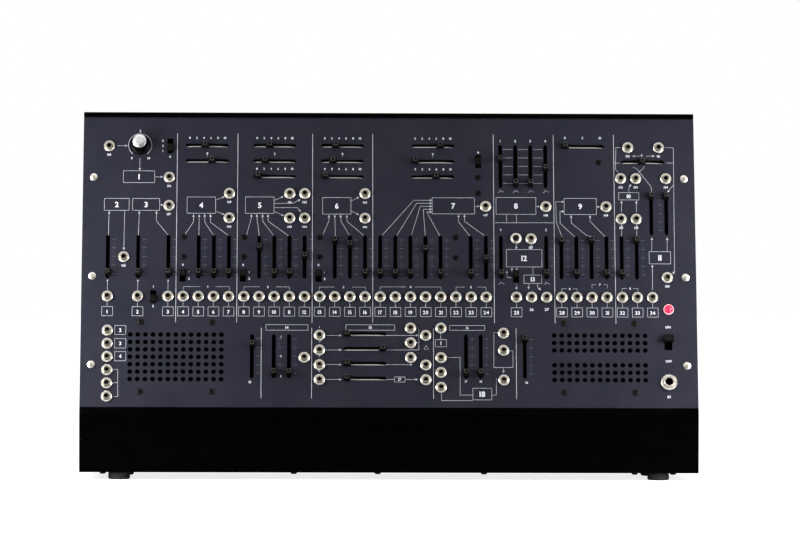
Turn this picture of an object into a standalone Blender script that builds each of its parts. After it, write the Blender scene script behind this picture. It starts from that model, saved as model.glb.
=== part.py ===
"""Compact semi-modular synthesizer, built as an assembly of separate pieces.

Metres, +Z up, front towards -Y. The origin lies on the ground, under the middle of the
instrument. The front panel leans back, and what it carries is placed in the panel's own
frame: u runs along +X from the middle, v runs up the slope from the panel's lower edge,
and w stands out of the panel, with 0 on its front face.
"""

import math

import bmesh
import bpy
from mathutils import Matrix, Vector

# Case
CASE_WIDTH = 0.521
CASE_DEPTH = 0.126
OVERALL_HEIGHT = 0.311
FOOT_HEIGHT = 0.0062
BEND_HEIGHT = 0.0557
PANEL_FOOT_HEIGHT = 0.0610
TOP_LIP = 0.0043
PANEL_LEAN = math.radians(14.0)
PANEL_THICKNESS = 0.002
PANEL_RECESS = 0.001
SHEET_THICKNESS = 0.0015
END_THICKNESS = 0.002
END_FLANGE = 0.016
FLANGE_MARGIN = 0.010
GAP = 0.0003
OVERRUN = 0.001

# Feet and screws
FOOT_RADIUS = 0.00925
FOOT_X_INSET = 0.0330
FRONT_FOOT_INSET = 0.015
REAR_FOOT_INSET = 0.031
FOOT_TAPER = 0.0008
PANEL_SCREW_RADIUS = 0.0035
PANEL_SCREW_HEIGHT = 0.0019
PANEL_SCREW_SHANK = 0.0015
PANEL_SCREW_INSET = 0.0092
BLACK_SCREW_RADIUS = 0.0027
BLACK_SCREW_HEIGHT = 0.0015
DARK_SCREW_RADIUS = 0.0026
DARK_SCREW_HEIGHT = 0.0010
SCREW_ROOT = 0.0007
CASE_SCREW_INSET = 0.008

# Patch sockets and their nuts
SOCKET_RADIUS = 0.0030
SOCKET_BORE_RADIUS = 0.0019
SOCKET_BORE_DEPTH = 0.009
SOCKET_PROUD = 0.0037
NUT_RADIUS = 0.0050
NUT_HEIGHT = 0.0019
PHONE_BUSHING_RADIUS = 0.0045
PHONE_BORE_RADIUS = 0.0033
PHONE_BORE_DEPTH = 0.026
PHONE_BODY_RADIUS = 0.0070
PHONE_BODY_DEPTH = 0.0275
PHONE_PROUD = 0.005
PHONE_NUT_RADIUS = 0.0069
PHONE_NUT_HEIGHT = 0.0026

# Sliders
SLIDER_TRAVEL_SHARE = 0.11841  # of the panel's length
SLOT_ALLOWANCE = 0.0081
SLOT_WIDTH = 0.0030
STEM_WIDTH = 0.0016
STEM_LENGTH = 0.0028
STEM_DEPTH = 0.0065
CAP_WIDTH = 0.0050
CAP_LENGTH = 0.0068
CAP_TOP_WIDTH = 0.0032
CAP_TOP_LENGTH = 0.0034
CAP_LIFT = 0.0010
CAP_TOP = 0.0080
FRAME_ALLOWANCE = 0.0064
FRAME_WIDTH = 0.0080
FRAME_DEPTH = 0.0070
FRAME_SLOT_WIDTH = 0.0024
FRAME_SLOT_DEPTH = 0.0055

# Switches, rotary control, push button and lamp
SWITCH_SLOT_WIDTH = 0.0052
SWITCH_SLOT_LENGTH = 0.0112
SWITCH_LEVER_WIDTH = 0.0044
SWITCH_LEVER_LENGTH = 0.0054
SWITCH_LEVER_TOP = 0.0046
SWITCH_TRAVEL = 0.004
SWITCH_WALL = 0.0014
SWITCH_CAVITY_DEPTH = 0.0055
POWER_SLOT_WIDTH = 0.0066
POWER_SLOT_LENGTH = 0.0132
POWER_STEM_WIDTH = 0.0056
POWER_STEM_LENGTH = 0.0054
POWER_CAP_WIDTH = 0.0094
POWER_CAP_LENGTH = 0.0066
POWER_CAP_TOP = 0.0070
POWER_TRAVEL = 0.006
KNOB_SKIRT_RADIUS = 0.0088
KNOB_SKIRT_HEIGHT = 0.0032
KNOB_RADIUS = 0.0068
KNOB_TOP_RADIUS = 0.0059
KNOB_HEIGHT = 0.0145
KNOB_RIM_HEIGHT = 0.0118
SHAFT_RADIUS = 0.0030
SHAFT_DEPTH = 0.0055
POT_RADIUS = 0.0080
POT_BORE_DEPTH = 0.0062
BUTTON_RADIUS = 0.00195
BUTTON_BORE_RADIUS = 0.0023
BUTTON_TOP = 0.0056
BUTTON_DEPTH = 0.0020
BUTTON_TRAVEL = 0.0015
LAMP_RADIUS = 0.00445
LAMP_STEM_RADIUS = 0.0030
LAMP_RIM_HEIGHT = 0.0014
LAMP_HEIGHT = 0.0036

# Speakers, boards and reverb tank
SPEAKER_HALF = 0.0345
SPEAKER_FLANGE = 0.0015
SPEAKER_CONE_RADIUS = 0.0315
SPEAKER_BASKET_RADIUS = 0.0330
SPEAKER_NECK_RADIUS = 0.0190
SPEAKER_BASKET_DEPTH = 0.020
SPEAKER_MAGNET_RADIUS = 0.0225
SPEAKER_MAGNET_DEPTH = 0.011
SPEAKER_DUST_CAP_RADIUS = 0.0100
SPEAKER_CONE_DEPTH = 0.012
SPEAKER_SCREW_PITCH = 0.060
SPEAKER_HOLE_RADIUS = 0.0021
SPEAKER_HOLE_COLUMNS = 13
SPEAKER_HOLE_ROWS = 7
BOARD_THICKNESS = 0.0016
BOARD_END_CLEARANCE = 0.0165
BOARD_MARGIN = 0.006
SOLDER_DEPTH = 0.0008
TANK_LENGTH = 0.235
TANK_DEPTH = 0.100
TANK_HEIGHT = 0.033
TANK_WALL = 0.0012
TANK_MIDDLE_SHARE = -0.403  # of half the case's width
TANK_REAR_SPACE = 0.010
SPRING_RADIUS = 0.0022
SPRING_SPACING = 0.024
SPRING_HEIGHT = 0.016
TRANSDUCER_LENGTH = 0.016
TRANSDUCER_DEPTH = 0.060
TRANSDUCER_HEIGHT = 0.022
TRANSDUCER_INSET = 0.008

# Rear connectors
REAR_PROTRUSION = 0.003
REAR_BOARD_TOP = 0.027
REAR_BOARD_DEPTH = 0.034
REAR_BUSHING_RADIUS = 0.0055
REAR_NUT_RADIUS = 0.0082
REAR_NUT_HEIGHT = 0.0020
DIN_RADIUS = 0.0085
DIN_SHELL_RADIUS = 0.0076
DIN_CORE_RADIUS = 0.0063
DIN_DEPTH = 0.012
DIN_GROOVE_DEPTH = 0.006
POWER_INLET_RADIUS = 0.0055
POWER_INLET_BORE_RADIUS = 0.0031
POWER_INLET_PIN_RADIUS = 0.0011
POWER_INLET_DEPTH = 0.011
USB_SHELL = 0.0006
USB_A_WIDTH = 0.0127
USB_A_HEIGHT = 0.0053
USB_B_WIDTH = 0.0084
USB_B_HEIGHT = 0.0078
USB_DEPTH = 0.015
USB_CAVITY_DEPTH = 0.012

# The panel's grid: the columns follow the width, and the rows the panel's length.
COLUMN_PITCH_SHARE = 1 / 40.64
MIDDLE_COLUMN = 18.6
TUNE_ROW_SHARE = 0.9029
TUNE_STEP_SHARE = 0.0538
LAST_TUNE_STEP_SHARE = 0.0534
PREAMP_SWITCH_SHARE = 0.9007
TUNE_SOCKET_SHARE = 0.8986
EDGE_SOCKET_SHARE = 0.7903
UPPER_SOCKET_SHARE = 0.7349
MIDDLE_SOCKET_SHARE = 0.6920
LOWER_SOCKET_SHARE = 0.6496
ENVELOPE_SLOT_SHARE = 0.8328
REVERB_SLOT_SHARE = 0.6702
GATE_SHARE = 0.5802
FOLLOWER_SHARE = 0.5142
MAIN_SLOT_SHARE = 0.5165
RANGE_SWITCH_SHARE = 0.4520
REVERB_SOCKET_SHARE = 0.4475
PATCH_ROW_SHARE = 0.3787
LAMP_SHARE = 0.3380
PROCESSOR_ROW_SHARE = 0.2716
PROCESSOR_STEP_SHARE = 0.0505
MULTIPLE_ROW_SHARE = 0.2618
MULTIPLE_STEP_SHARE = 0.0450
POWER_SHARE = 0.2250
LOWER_SLOT_SHARE = 0.1757
SPEAKER_SHARE = 0.1725
HEADPHONE_SHARE = 0.0888
PANEL_SCREW_SHARES = (0.790, 0.448, 0.145)
SPEAKER_COLUMNS = (4.55, 32.47)
EDGE_COLUMN = 37
BOARD_SPLIT_COLUMNS = (19.35, 17.5)
BOARD_SPLIT_SHARE = 0.325

# Sizes worked out from the ones above
HALF_WIDTH = CASE_WIDTH / 2
FRONT_Y = -(CASE_DEPTH + REAR_PROTRUSION) / 2
BACK_Y = FRONT_Y + CASE_DEPTH
COLUMN_PITCH = CASE_WIDTH * COLUMN_PITCH_SHARE
SLOPE_LENGTH = (OVERALL_HEIGHT - PANEL_FOOT_HEIGHT) / math.cos(PANEL_LEAN)
PANEL_LENGTH = SLOPE_LENGTH - TOP_LIP
SLIDER_TRAVEL = PANEL_LENGTH * SLIDER_TRAVEL_SHARE
SLOT_LENGTH = SLIDER_TRAVEL + SLOT_ALLOWANCE
FRAME_LENGTH = SLOT_LENGTH + FRAME_ALLOWANCE
BOARD_HALF_WIDTH = HALF_WIDTH - BOARD_END_CLEARANCE
BEHIND_PANEL = -PANEL_THICKNESS - GAP
BOARD_FRONT = BEHIND_PANEL - FRAME_DEPTH - GAP
SPEAKER_HOLE_PITCH = COLUMN_PITCH / 2
OUT_OF_PANEL = Vector((0, -math.cos(PANEL_LEAN), math.sin(PANEL_LEAN)))

LEVEL_TURN = Matrix.Rotation(math.radians(-90), 4, "Z")

# Corner counts of the round shapes
SMALL_SIDES = 6
ROUND_SIDES = 12
SOUND_HOLE_SIDES = 4

# Patch sockets: (column, row share)
PATCH_ROW_COLUMNS = (0, 2, 4, *range(5, 26), 27, 28, *range(29, 37))
TUNE_ROW_2_SHARE = TUNE_ROW_SHARE - TUNE_STEP_SHARE
TUNE_ROW_3_SHARE = TUNE_ROW_2_SHARE - LAST_TUNE_STEP_SHARE
MODULE_SOCKET_SHARES = (
    (0, TUNE_SOCKET_SHARE), (4, EDGE_SOCKET_SHARE), (4, MIDDLE_SOCKET_SHARE), (1.05, FOLLOWER_SHARE),
    (8, UPPER_SOCKET_SHARE), (8, LOWER_SOCKET_SHARE),
    (12, UPPER_SOCKET_SHARE), (13, UPPER_SOCKET_SHARE), (12, LOWER_SOCKET_SHARE), (13, LOWER_SOCKET_SHARE),
    (17, UPPER_SOCKET_SHARE), (17, LOWER_SOCKET_SHARE),
    (25, MIDDLE_SOCKET_SHARE), (29, MIDDLE_SOCKET_SHARE), (33, MIDDLE_SOCKET_SHARE),
    (34.5, TUNE_SOCKET_SHARE), (36.55, TUNE_SOCKET_SHARE),
    (34, EDGE_SOCKET_SHARE), (35, EDGE_SOCKET_SHARE), (37, EDGE_SOCKET_SHARE),
    (34, LOWER_SOCKET_SHARE), (35, LOWER_SOCKET_SHARE), (28, GATE_SHARE), (37, REVERB_SOCKET_SHARE),
)
# Lower sockets: (column, steps below the first processor row)
LOWER_SOCKET_STEPS = (
    (13, 2), (14, 0.5), (14, 1.5), (14, 2.5), (14, 3.5), (20, 0), (20, 1), (20, 2),
    (21, 0.5), (21, 2.5), (21, 3.5), (22, 0), (22, 2), (22, 3), (22, 4), (26.13, 0.33), (26.13, 1.5), (26.13, 3.5),
)
MULTIPLE_SOCKETS = 6
MULTIPLE_COLUMN = 0.04
START_BUTTON_COLUMN = 27

# Upright sliders that move: (node, column, slot's row share, setting from 0 at the bottom to 1)
UPRIGHT_SLIDER_SHARES = (
    ("follower_slider", 0, MAIN_SLOT_SHARE, 0.03),
    ("ring_slider_1", 2, MAIN_SLOT_SHARE, 0.03),
    ("ring_slider_2", 4, MAIN_SLOT_SHARE, 0.03),
    ("oscillator_2_slider_1", 10, MAIN_SLOT_SHARE, 0.77),
    ("oscillator_2_slider_4", 13, MAIN_SLOT_SHARE, 0.52),
    ("oscillator_3_slider_1", 15, MAIN_SLOT_SHARE, 0.98),
    ("oscillator_3_slider_2", 16, MAIN_SLOT_SHARE, 0.86),
    ("filter_slider_4", 21, MAIN_SLOT_SHARE, 0.72),
    ("filter_slider_7", 25, MAIN_SLOT_SHARE, 0.45),
    ("amplifier_slider_1", 30, MAIN_SLOT_SHARE, 0.98),
    ("amplifier_slider_3", 32, MAIN_SLOT_SHARE, 1.0),
    ("mixer_slider_2", 35, MAIN_SLOT_SHARE, 1.0),
    ("left_reverb_slider", 36, REVERB_SLOT_SHARE, 1.0),
    ("right_reverb_slider", 37, REVERB_SLOT_SHARE, 1.0),
    ("attack_slider", 26, ENVELOPE_SLOT_SHARE, 0.7),
    ("decay_slider", 27, ENVELOPE_SLOT_SHARE, 0.0),
    ("sustain_slider", 28, ENVELOPE_SLOT_SHARE, 0.0),
    ("release_slider", 29, ENVELOPE_SLOT_SHARE, 0.44),
    ("left_speaker_slider", 9.56, LOWER_SLOT_SHARE, 0.84),
    ("right_speaker_slider", 27.52, LOWER_SLOT_SHARE, 1.0),
)
# Level sliders that move: (node, slot's middle column, row share, setting from 0 at the left to 1)
LEVEL_SLIDER_SHARES = (
    ("oscillator_1_coarse_slider", 6.51, TUNE_ROW_SHARE, 0.44),
    ("oscillator_1_fine_slider", 6.51, TUNE_ROW_2_SHARE, 0.64),
    ("oscillator_2_coarse_slider", 10.99, TUNE_ROW_SHARE, 0.36),
    ("oscillator_2_fine_slider", 10.99, TUNE_ROW_2_SHARE, 0.23),
    ("oscillator_2_width_slider", 10.99, TUNE_ROW_3_SHARE, 0.03),
    ("oscillator_3_coarse_slider", 15.50, TUNE_ROW_SHARE, 0.31),
    ("oscillator_3_fine_slider", 15.50, TUNE_ROW_2_SHARE, 0.23),
    ("oscillator_3_width_slider", 15.50, TUNE_ROW_3_SHARE, 0.02),
    ("filter_coarse_slider", 21.51, TUNE_ROW_SHARE, 0.71),
    ("filter_fine_slider", 21.51, TUNE_ROW_2_SHARE, 0.0),
    ("filter_resonance_slider", 21.51, TUNE_ROW_3_SHARE, 0.59),
    ("amplifier_gain_slider", 31.49, TUNE_ROW_SHARE, 0.0),
    ("pan_slider", 35.48, TUNE_ROW_2_SHARE, 0.48),
)
# Sliders that stand closed and are one piece with their board: upright (column, row share)
FIXED_SLIDER_SHARES = (
    *((column, MAIN_SLOT_SHARE) for column in (6, 7, 8, 11, 12, 17, 18, 19, 20, 22, 24, 26, 29, 31, 33, 34)),
    *((column, LOWER_SLOT_SHARE) for column in (11, 12, 23.65, 24.62)),
)
CLOSED_SETTING = 0.03
# Level sliders of the voltage processors, also fixed: (steps below the first row, setting)
PROCESSOR_COLUMN = 16.99
PROCESSOR_SLIDER_STEPS = ((0.39, 0.0), (1.39, 1.0), (2.39, 0.0), (3.39, 0.0))
# Slide switches: (node, column, row share, setting from 0 at the bottom to 1)
SWITCH_SHARES = (
    ("preamp_range_switch", 4.05, PREAMP_SWITCH_SHARE, 0.0),
    ("ring_coupling_switch", 3.03, PATCH_ROW_SHARE, 0.0),
    ("oscillator_1_range_switch", 4.96, RANGE_SWITCH_SHARE, 1.0),
    ("oscillator_2_range_switch", 8.94, RANGE_SWITCH_SHARE, 1.0),
    ("oscillator_3_range_switch", 13.92, RANGE_SWITCH_SHARE, 1.0),
    ("filter_keyboard_switch", 24.53, TUNE_ROW_2_SHARE, 0.5),
    ("gate_switch", 26.99, RANGE_SWITCH_SHARE, 1.0),
)
KNOB_COLUMN = 2.04
LAMP_COLUMN = 37.05
# Dark screws: (column, row share)
DARK_SCREW_SHARES = (
    (5.01, 0.584), (5.01, 0.516), (8.98, 0.584), (8.98, 0.516), (13.99, 0.584), (13.99, 0.516),
    (23.01, 0.585), (23.01, 0.515), (24.51, 0.793), (24.51, 0.739), (32.56, 0.847),
)
# Case screws, as shares of half the width and, behind, of the height
BOTTOM_SCREW_SHARES = (-0.925, -0.308, -0.037, 0.307, 0.795, 0.919)
REAR_SCREW_SHARES = (
    (-0.955, 0.09), (-0.955, 0.50), (-0.955, 0.93), (0.955, 0.09), (0.955, 0.50), (0.955, 0.93),
    (0.0, 0.06), (0.0, 0.95),
)
# Rear connectors, as shares of half the width
OUTPUT_SOCKET_SHARES = (0.36, 0.46)
DIN_SHARE = 0.57
USB_B_SHARE = 0.67
USB_A_SHARE = 0.76
POWER_INLET_SHARE = 0.86
REAR_BOARD_SHARES = (0.31, 0.91)

# Colours: (red, green, blue), metallic, roughness
FINISHES = {
    "slate_paint": ((0.036, 0.035, 0.056), 0.0, 0.55),
    "black_paint": ((0.006, 0.006, 0.006), 0.0, 0.32),
    "nickel": ((0.72, 0.68, 0.60), 1.0, 0.28),
    "black_plastic": ((0.010, 0.010, 0.010), 0.0, 0.45),
    "rubber": ((0.015, 0.015, 0.015), 0.0, 0.80),
    "black_steel": ((0.03, 0.03, 0.03), 1.0, 0.40),
    "circuit_board": ((0.02, 0.10, 0.04), 0.0, 0.50),
    "zinc_steel": ((0.60, 0.60, 0.58), 1.0, 0.40),
    "red_lens": ((0.90, 0.02, 0.10), 0.0, 0.20),
}


def column_u(column):
    """Place across the panel of a column of its grid."""
    return (column - MIDDLE_COLUMN) * COLUMN_PITCH


def row_v(share):
    """Place up the panel of a share of its length."""
    return share * PANEL_LENGTH


def slope_point(height):
    """Point of the side view, as y and z, where the slope passes a height."""
    return Vector((FRONT_Y + (height - BEND_HEIGHT) * math.tan(PANEL_LEAN), height))


def panel_matrix():
    """Placement of the panel's frame in the world."""
    foot = slope_point(PANEL_FOOT_HEIGHT)
    origin = Vector((0, foot.x, foot.y)) - PANEL_RECESS * OUT_OF_PANEL
    return Matrix.Translation(origin) @ Matrix.Rotation(math.radians(90) - PANEL_LEAN, 4, "X")


PANEL_MATRIX = panel_matrix()


def clear_scene():
    """Remove every object of the scene."""
    for item in list(bpy.data.objects):
        bpy.data.objects.remove(item, do_unlink=True)


def material(name):
    """Material with one of the finishes, made once."""
    found = bpy.data.materials.get(name)
    if found:
        return found
    colour, metallic, roughness = FINISHES[name]
    made = bpy.data.materials.new(name)
    made.use_nodes = True
    shader = made.node_tree.nodes["Principled BSDF"]
    shader.inputs["Base Color"].default_value = (*colour, 1.0)
    shader.inputs["Metallic"].default_value = metallic
    shader.inputs["Roughness"].default_value = roughness
    made.diffuse_color = (*colour, 1.0)
    return made


def panel_frame():
    """Empty that carries everything on the sloping panel."""
    frame = bpy.data.objects.new("panel_frame", None)
    bpy.context.scene.collection.objects.link(frame)
    frame.matrix_world = PANEL_MATRIX
    return frame


def finish_object(name, shape, finish, parent=None, place=None):
    """Turn a bmesh into a named object with its material, under its parent."""
    bmesh.ops.recalc_face_normals(shape, faces=shape.faces)
    mesh = bpy.data.meshes.new(name)
    shape.to_mesh(mesh)
    shape.free()
    mesh.materials.append(material(finish))
    made = bpy.data.objects.new(name, mesh)
    bpy.context.scene.collection.objects.link(made)
    made.parent = parent
    if place is not None:
        made.matrix_basis = place
    return made


def combine(target, operation, shape):
    """Cut a shape out of a target, or join it to the target. The shape uses the target's own frame."""
    helper = finish_object(target.name + "_" + operation.lower(), shape, target.data.materials[0].name)
    helper.parent = target
    helper.hide_render = True
    helper.display_type = "WIRE"
    modifier = target.modifiers.new(helper.name, "BOOLEAN")
    modifier.operation = operation
    modifier.solver = "EXACT"
    modifier.object = helper


def loft(shape, loops):
    """Closed solid through loops of equal length."""
    rings = [[shape.verts.new(point) for point in loop] for loop in loops]
    for lower, upper in zip(rings, rings[1:]):
        for index in range(len(lower)):
            following = (index + 1) % len(lower)
            shape.faces.new((lower[index], lower[following], upper[following], upper[index]))
    shape.faces.new(rings[0])
    shape.faces.new(rings[-1])


def circle(radius, height, sides, place=Matrix.Identity(4), turn=0.0):
    """Corners of a regular polygon round the placement's Z axis."""
    points = []
    for index in range(sides):
        angle = turn + math.tau * index / sides
        points.append(place @ Vector((radius * math.cos(angle), radius * math.sin(angle), height)))
    return points


def turned(shape, place, profile, sides, turn=0.0):
    """Turned solid from (radius, height) pairs."""
    loft(shape, [circle(radius, height, sides, place, turn) for radius, height in profile])


def rectangle(half_x, half_y, height, place=Matrix.Identity(4)):
    """Corners of a rectangle round the placement's Z axis."""
    corners = ((-half_x, -half_y), (half_x, -half_y), (half_x, half_y), (-half_x, half_y))
    return [place @ Vector((x, y, height)) for x, y in corners]


def stepped(shape, place, profile):
    """Square-cornered solid from (half width, half length, height) triples."""
    loft(shape, [rectangle(half_x, half_y, height, place) for half_x, half_y, height in profile])


def box(shape, low, high, place=Matrix.Identity(4)):
    """Box between two corners."""
    middle = Matrix.Translation(((low[0] + high[0]) / 2, (low[1] + high[1]) / 2, 0))
    half_x = (high[0] - low[0]) / 2
    half_y = (high[1] - low[1]) / 2
    stepped(shape, place @ middle, ((half_x, half_y, low[2]), (half_x, half_y, high[2])))


def at(u, v, w=0.0):
    """Placement in a frame without turning."""
    return Matrix.Translation((u, v, w))


def across(outline, x_low, x_high, shape):
    """Extrude a side-view outline along X."""
    loft(shape, [[Vector((x, y, z)) for y, z in outline] for x in (x_low, x_high)])


def shifted_line(start, end, distance):
    """Line moved to its right by a distance, as a point and a direction."""
    direction = (end - start).normalized()
    return start + distance * Vector((direction.y, -direction.x)), direction


def crossing(first, second):
    """Point where two lines cross, each as a point and a direction."""
    (start, along), (other, other_along) = first, second
    turn = along.x * other_along.y - along.y * other_along.x
    apart = other - start
    return start + along * ((apart.x * other_along.y - apart.y * other_along.x) / turn)


def sheet_outline(path, thickness):
    """Outline of a folded sheet whose outer side runs along a path, with its body to the right."""
    lines = [shifted_line(start, end, thickness) for start, end in zip(path, path[1:])]
    inner = [lines[0][0]]
    for before, after in zip(lines, lines[1:]):
        inner.append(crossing(before, after))
    last_point, last_direction = lines[-1]
    inner.append(last_point + last_direction * (path[-1] - path[-2]).length)
    return list(path) + inner[::-1]


def inset_outline(corners, distances):
    """Closed outline drawn in by one distance for each side, with its body to the right."""
    count = len(corners)
    lines = [shifted_line(corners[i], corners[(i + 1) % count], distances[i]) for i in range(count)]
    return [crossing(lines[i - 1], lines[i]) for i in range(count)]


def screw_head(shape, place, radius, height):
    """Screw head that is one piece with the face it stands on."""
    turned(shape, place, ((radius, -SCREW_ROOT), (radius, height)), SMALL_SIDES)


def base_pan():
    """Folded floor of the case, with the chin, the lip under the panel and its screws below."""
    path = (
        Vector((BACK_Y - SHEET_THICKNESS - GAP, FOOT_HEIGHT)),
        Vector((FRONT_Y, FOOT_HEIGHT)),
        Vector((FRONT_Y, BEND_HEIGHT)),
        slope_point(PANEL_FOOT_HEIGHT),
    )
    shape = bmesh.new()
    across(sheet_outline(path, SHEET_THICKNESS), -HALF_WIDTH, HALF_WIDTH, shape)
    pan = finish_object("base_pan", shape, "black_paint")
    screws = bmesh.new()
    for share in BOTTOM_SCREW_SHARES:
        place = at(share * HALF_WIDTH, FRONT_Y + CASE_SCREW_INSET, FOOT_HEIGHT)
        screw_head(screws, place @ Matrix.Rotation(math.pi, 4, "X"), BLACK_SCREW_RADIUS, BLACK_SCREW_HEIGHT)
    combine(pan, "UNION", screws)


def rear_place(share, height):
    """Placement on the outside of the back wall, with Z pointing backwards."""
    return Matrix.Translation((share * HALF_WIDTH, BACK_Y, height)) @ Matrix.Rotation(math.radians(-90), 4, "X")


def seated(share, half_height):
    """Placement of a rear connector that sits on its board, let into it by the solder's depth."""
    return rear_place(share, REAR_BOARD_TOP + half_height - SOLDER_DEPTH)


def output_places():
    """Placements of the two large output sockets."""
    return [seated(share, PHONE_BODY_RADIUS) for share in OUTPUT_SOCKET_SHARES]


def square_connectors():
    """Data sockets, as (placement, half width, half height) of the opening."""
    for share, width, height in ((USB_A_SHARE, USB_A_WIDTH, USB_A_HEIGHT), (USB_B_SHARE, USB_B_WIDTH, USB_B_HEIGHT)):
        yield seated(share, height / 2 + USB_SHELL), width / 2, height / 2


def rear_cover():
    """Folded cover with the upper lip, the top and the back wall, open for the connectors."""
    top_front = slope_point(OVERALL_HEIGHT)
    lip_end = top_front - TOP_LIP * Vector((math.sin(PANEL_LEAN), math.cos(PANEL_LEAN)))
    path = (lip_end, top_front, Vector((BACK_Y, OVERALL_HEIGHT)), Vector((BACK_Y, FOOT_HEIGHT)))
    shape = bmesh.new()
    across(sheet_outline(path, SHEET_THICKNESS), -HALF_WIDTH, HALF_WIDTH, shape)
    cover = finish_object("rear_cover", shape, "black_paint")
    holes = bmesh.new()
    inner = -SHEET_THICKNESS - OVERRUN
    round_holes = [(place, REAR_BUSHING_RADIUS) for place in output_places()]
    round_holes.append((seated(DIN_SHARE, DIN_RADIUS), DIN_RADIUS))
    round_holes.append((seated(POWER_INLET_SHARE, POWER_INLET_RADIUS), POWER_INLET_RADIUS))
    for place, radius in round_holes:
        turned(holes, place, ((radius + GAP, inner), (radius + GAP, OVERRUN)), ROUND_SIDES)
    for place, half_x, half_y in square_connectors():
        sides = (half_x + USB_SHELL + GAP, half_y + USB_SHELL + GAP)
        stepped(holes, place, ((*sides, inner), (*sides, OVERRUN)))
    combine(cover, "DIFFERENCE", holes)
    screws = bmesh.new()
    for share, height_share in REAR_SCREW_SHARES:
        place = rear_place(share, height_share * OVERALL_HEIGHT)
        screw_head(screws, place, BLACK_SCREW_RADIUS, BLACK_SCREW_HEIGHT)
    combine(cover, "UNION", screws)


def panel_screw_places(side):
    """Centres of the bright screws along one side edge, in the panel's frame."""
    u = side * (HALF_WIDTH - PANEL_SCREW_INSET)
    return [at(u, row_v(share)) for share in PANEL_SCREW_SHARES]


def end_panel(name, side):
    """Flat cheek inside the folded sheets, with its flange behind the panel and the panel's three screws."""
    corners = (
        Vector((FRONT_Y, FOOT_HEIGHT)),
        Vector((FRONT_Y, BEND_HEIGHT)),
        slope_point(OVERALL_HEIGHT),
        Vector((BACK_Y, OVERALL_HEIGHT)),
        Vector((BACK_Y, FOOT_HEIGHT)),
    )
    shell = SHEET_THICKNESS + GAP
    behind = PANEL_RECESS - BEHIND_PANEL
    outline = inset_outline(corners, (shell, behind, shell, shell, shell))
    shape = bmesh.new()
    across(outline, side * (HALF_WIDTH - END_THICKNESS), side * HALF_WIDTH, shape)
    cheek = finish_object(name, shape, "black_paint")
    flange = bmesh.new()
    ends = (side * (HALF_WIDTH - END_FLANGE), side * (HALF_WIDTH - END_THICKNESS / 2))
    low = (min(ends), FLANGE_MARGIN, BEHIND_PANEL - END_THICKNESS)
    high = (max(ends), PANEL_LENGTH - FLANGE_MARGIN, BEHIND_PANEL)
    box(flange, low, high, PANEL_MATRIX)
    combine(cheek, "UNION", flange)
    screws = bmesh.new()
    profile = (
        (PANEL_SCREW_SHANK, BEHIND_PANEL - END_THICKNESS / 2),
        (PANEL_SCREW_SHANK, GAP),
        (PANEL_SCREW_RADIUS, GAP),
        (PANEL_SCREW_SHANK, PANEL_SCREW_HEIGHT),
    )
    for place in panel_screw_places(side):
        turned(screws, PANEL_MATRIX @ place, profile, SMALL_SIDES)
    combine(cheek, "UNION", screws)


def rubber_feet():
    """Four round feet under the floor."""
    profile = (
        (FOOT_RADIUS - FOOT_TAPER, 0),
        (FOOT_RADIUS, FOOT_TAPER),
        (FOOT_RADIUS, FOOT_HEIGHT - GAP),
    )
    for across_name, side in (("left", -1), ("right", 1)):
        for along_name, y in (("front", FRONT_Y + FRONT_FOOT_INSET), ("rear", BACK_Y - REAR_FOOT_INSET)):
            shape = bmesh.new()
            turned(shape, Matrix.Identity(4), profile, ROUND_SIDES)
            place = at(side * (HALF_WIDTH - FOOT_X_INSET), y)
            finish_object(f"{along_name}_{across_name}_foot", shape, "rubber", place=place)


def moving_sliders():
    """Every moving slider, as (node, place of its slot, setting). Y of the place runs along the travel."""
    for node, column, share, setting in UPRIGHT_SLIDER_SHARES:
        yield node, at(column_u(column), row_v(share)), setting
    for node, column, share, setting in LEVEL_SLIDER_SHARES:
        yield node, at(column_u(column), row_v(share)) @ LEVEL_TURN, setting


def fixed_sliders():
    """Every slider that is one piece with its board, as (place of its slot, setting)."""
    for column, share in FIXED_SLIDER_SHARES:
        yield at(column_u(column), row_v(share)), CLOSED_SETTING
    for steps, setting in PROCESSOR_SLIDER_STEPS:
        v = row_v(PROCESSOR_ROW_SHARE - steps * PROCESSOR_STEP_SHARE)
        yield at(column_u(PROCESSOR_COLUMN), v) @ LEVEL_TURN, setting


def slot_places():
    """Places of all slider slots."""
    return [place for _, place, _ in moving_sliders()] + [place for place, _ in fixed_sliders()]


def socket_places():
    """Centres of all patch sockets on the panel."""
    places = [at(column_u(column), row_v(PATCH_ROW_SHARE)) for column in PATCH_ROW_COLUMNS]
    places += [at(column_u(column), row_v(share)) for column, share in MODULE_SOCKET_SHARES]
    for column, steps in LOWER_SOCKET_STEPS:
        places.append(at(column_u(column), row_v(PROCESSOR_ROW_SHARE - steps * PROCESSOR_STEP_SHARE)))
    for index in range(MULTIPLE_SOCKETS):
        places.append(at(column_u(MULTIPLE_COLUMN), row_v(MULTIPLE_ROW_SHARE - index * MULTIPLE_STEP_SHARE)))
    return places


def button_place():
    """Centre of the push button."""
    return at(column_u(START_BUTTON_COLUMN), row_v(GATE_SHARE))


def knob_place():
    """Centre of the rotary control."""
    return at(column_u(KNOB_COLUMN), row_v(TUNE_ROW_SHARE))


def edge_place(share):
    """Centre of something in the last column."""
    return at(column_u(EDGE_COLUMN), row_v(share))


def lamp_place():
    """Centre of the lamp."""
    return at(column_u(LAMP_COLUMN), row_v(LAMP_SHARE))


def switch_places():
    """Centres of the small slide switches."""
    return [at(column_u(column), row_v(share)) for _, column, share, _ in SWITCH_SHARES]


def speaker_places():
    """Centres of the two speakers."""
    return [at(column_u(column), row_v(SPEAKER_SHARE)) for column in SPEAKER_COLUMNS]


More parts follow.
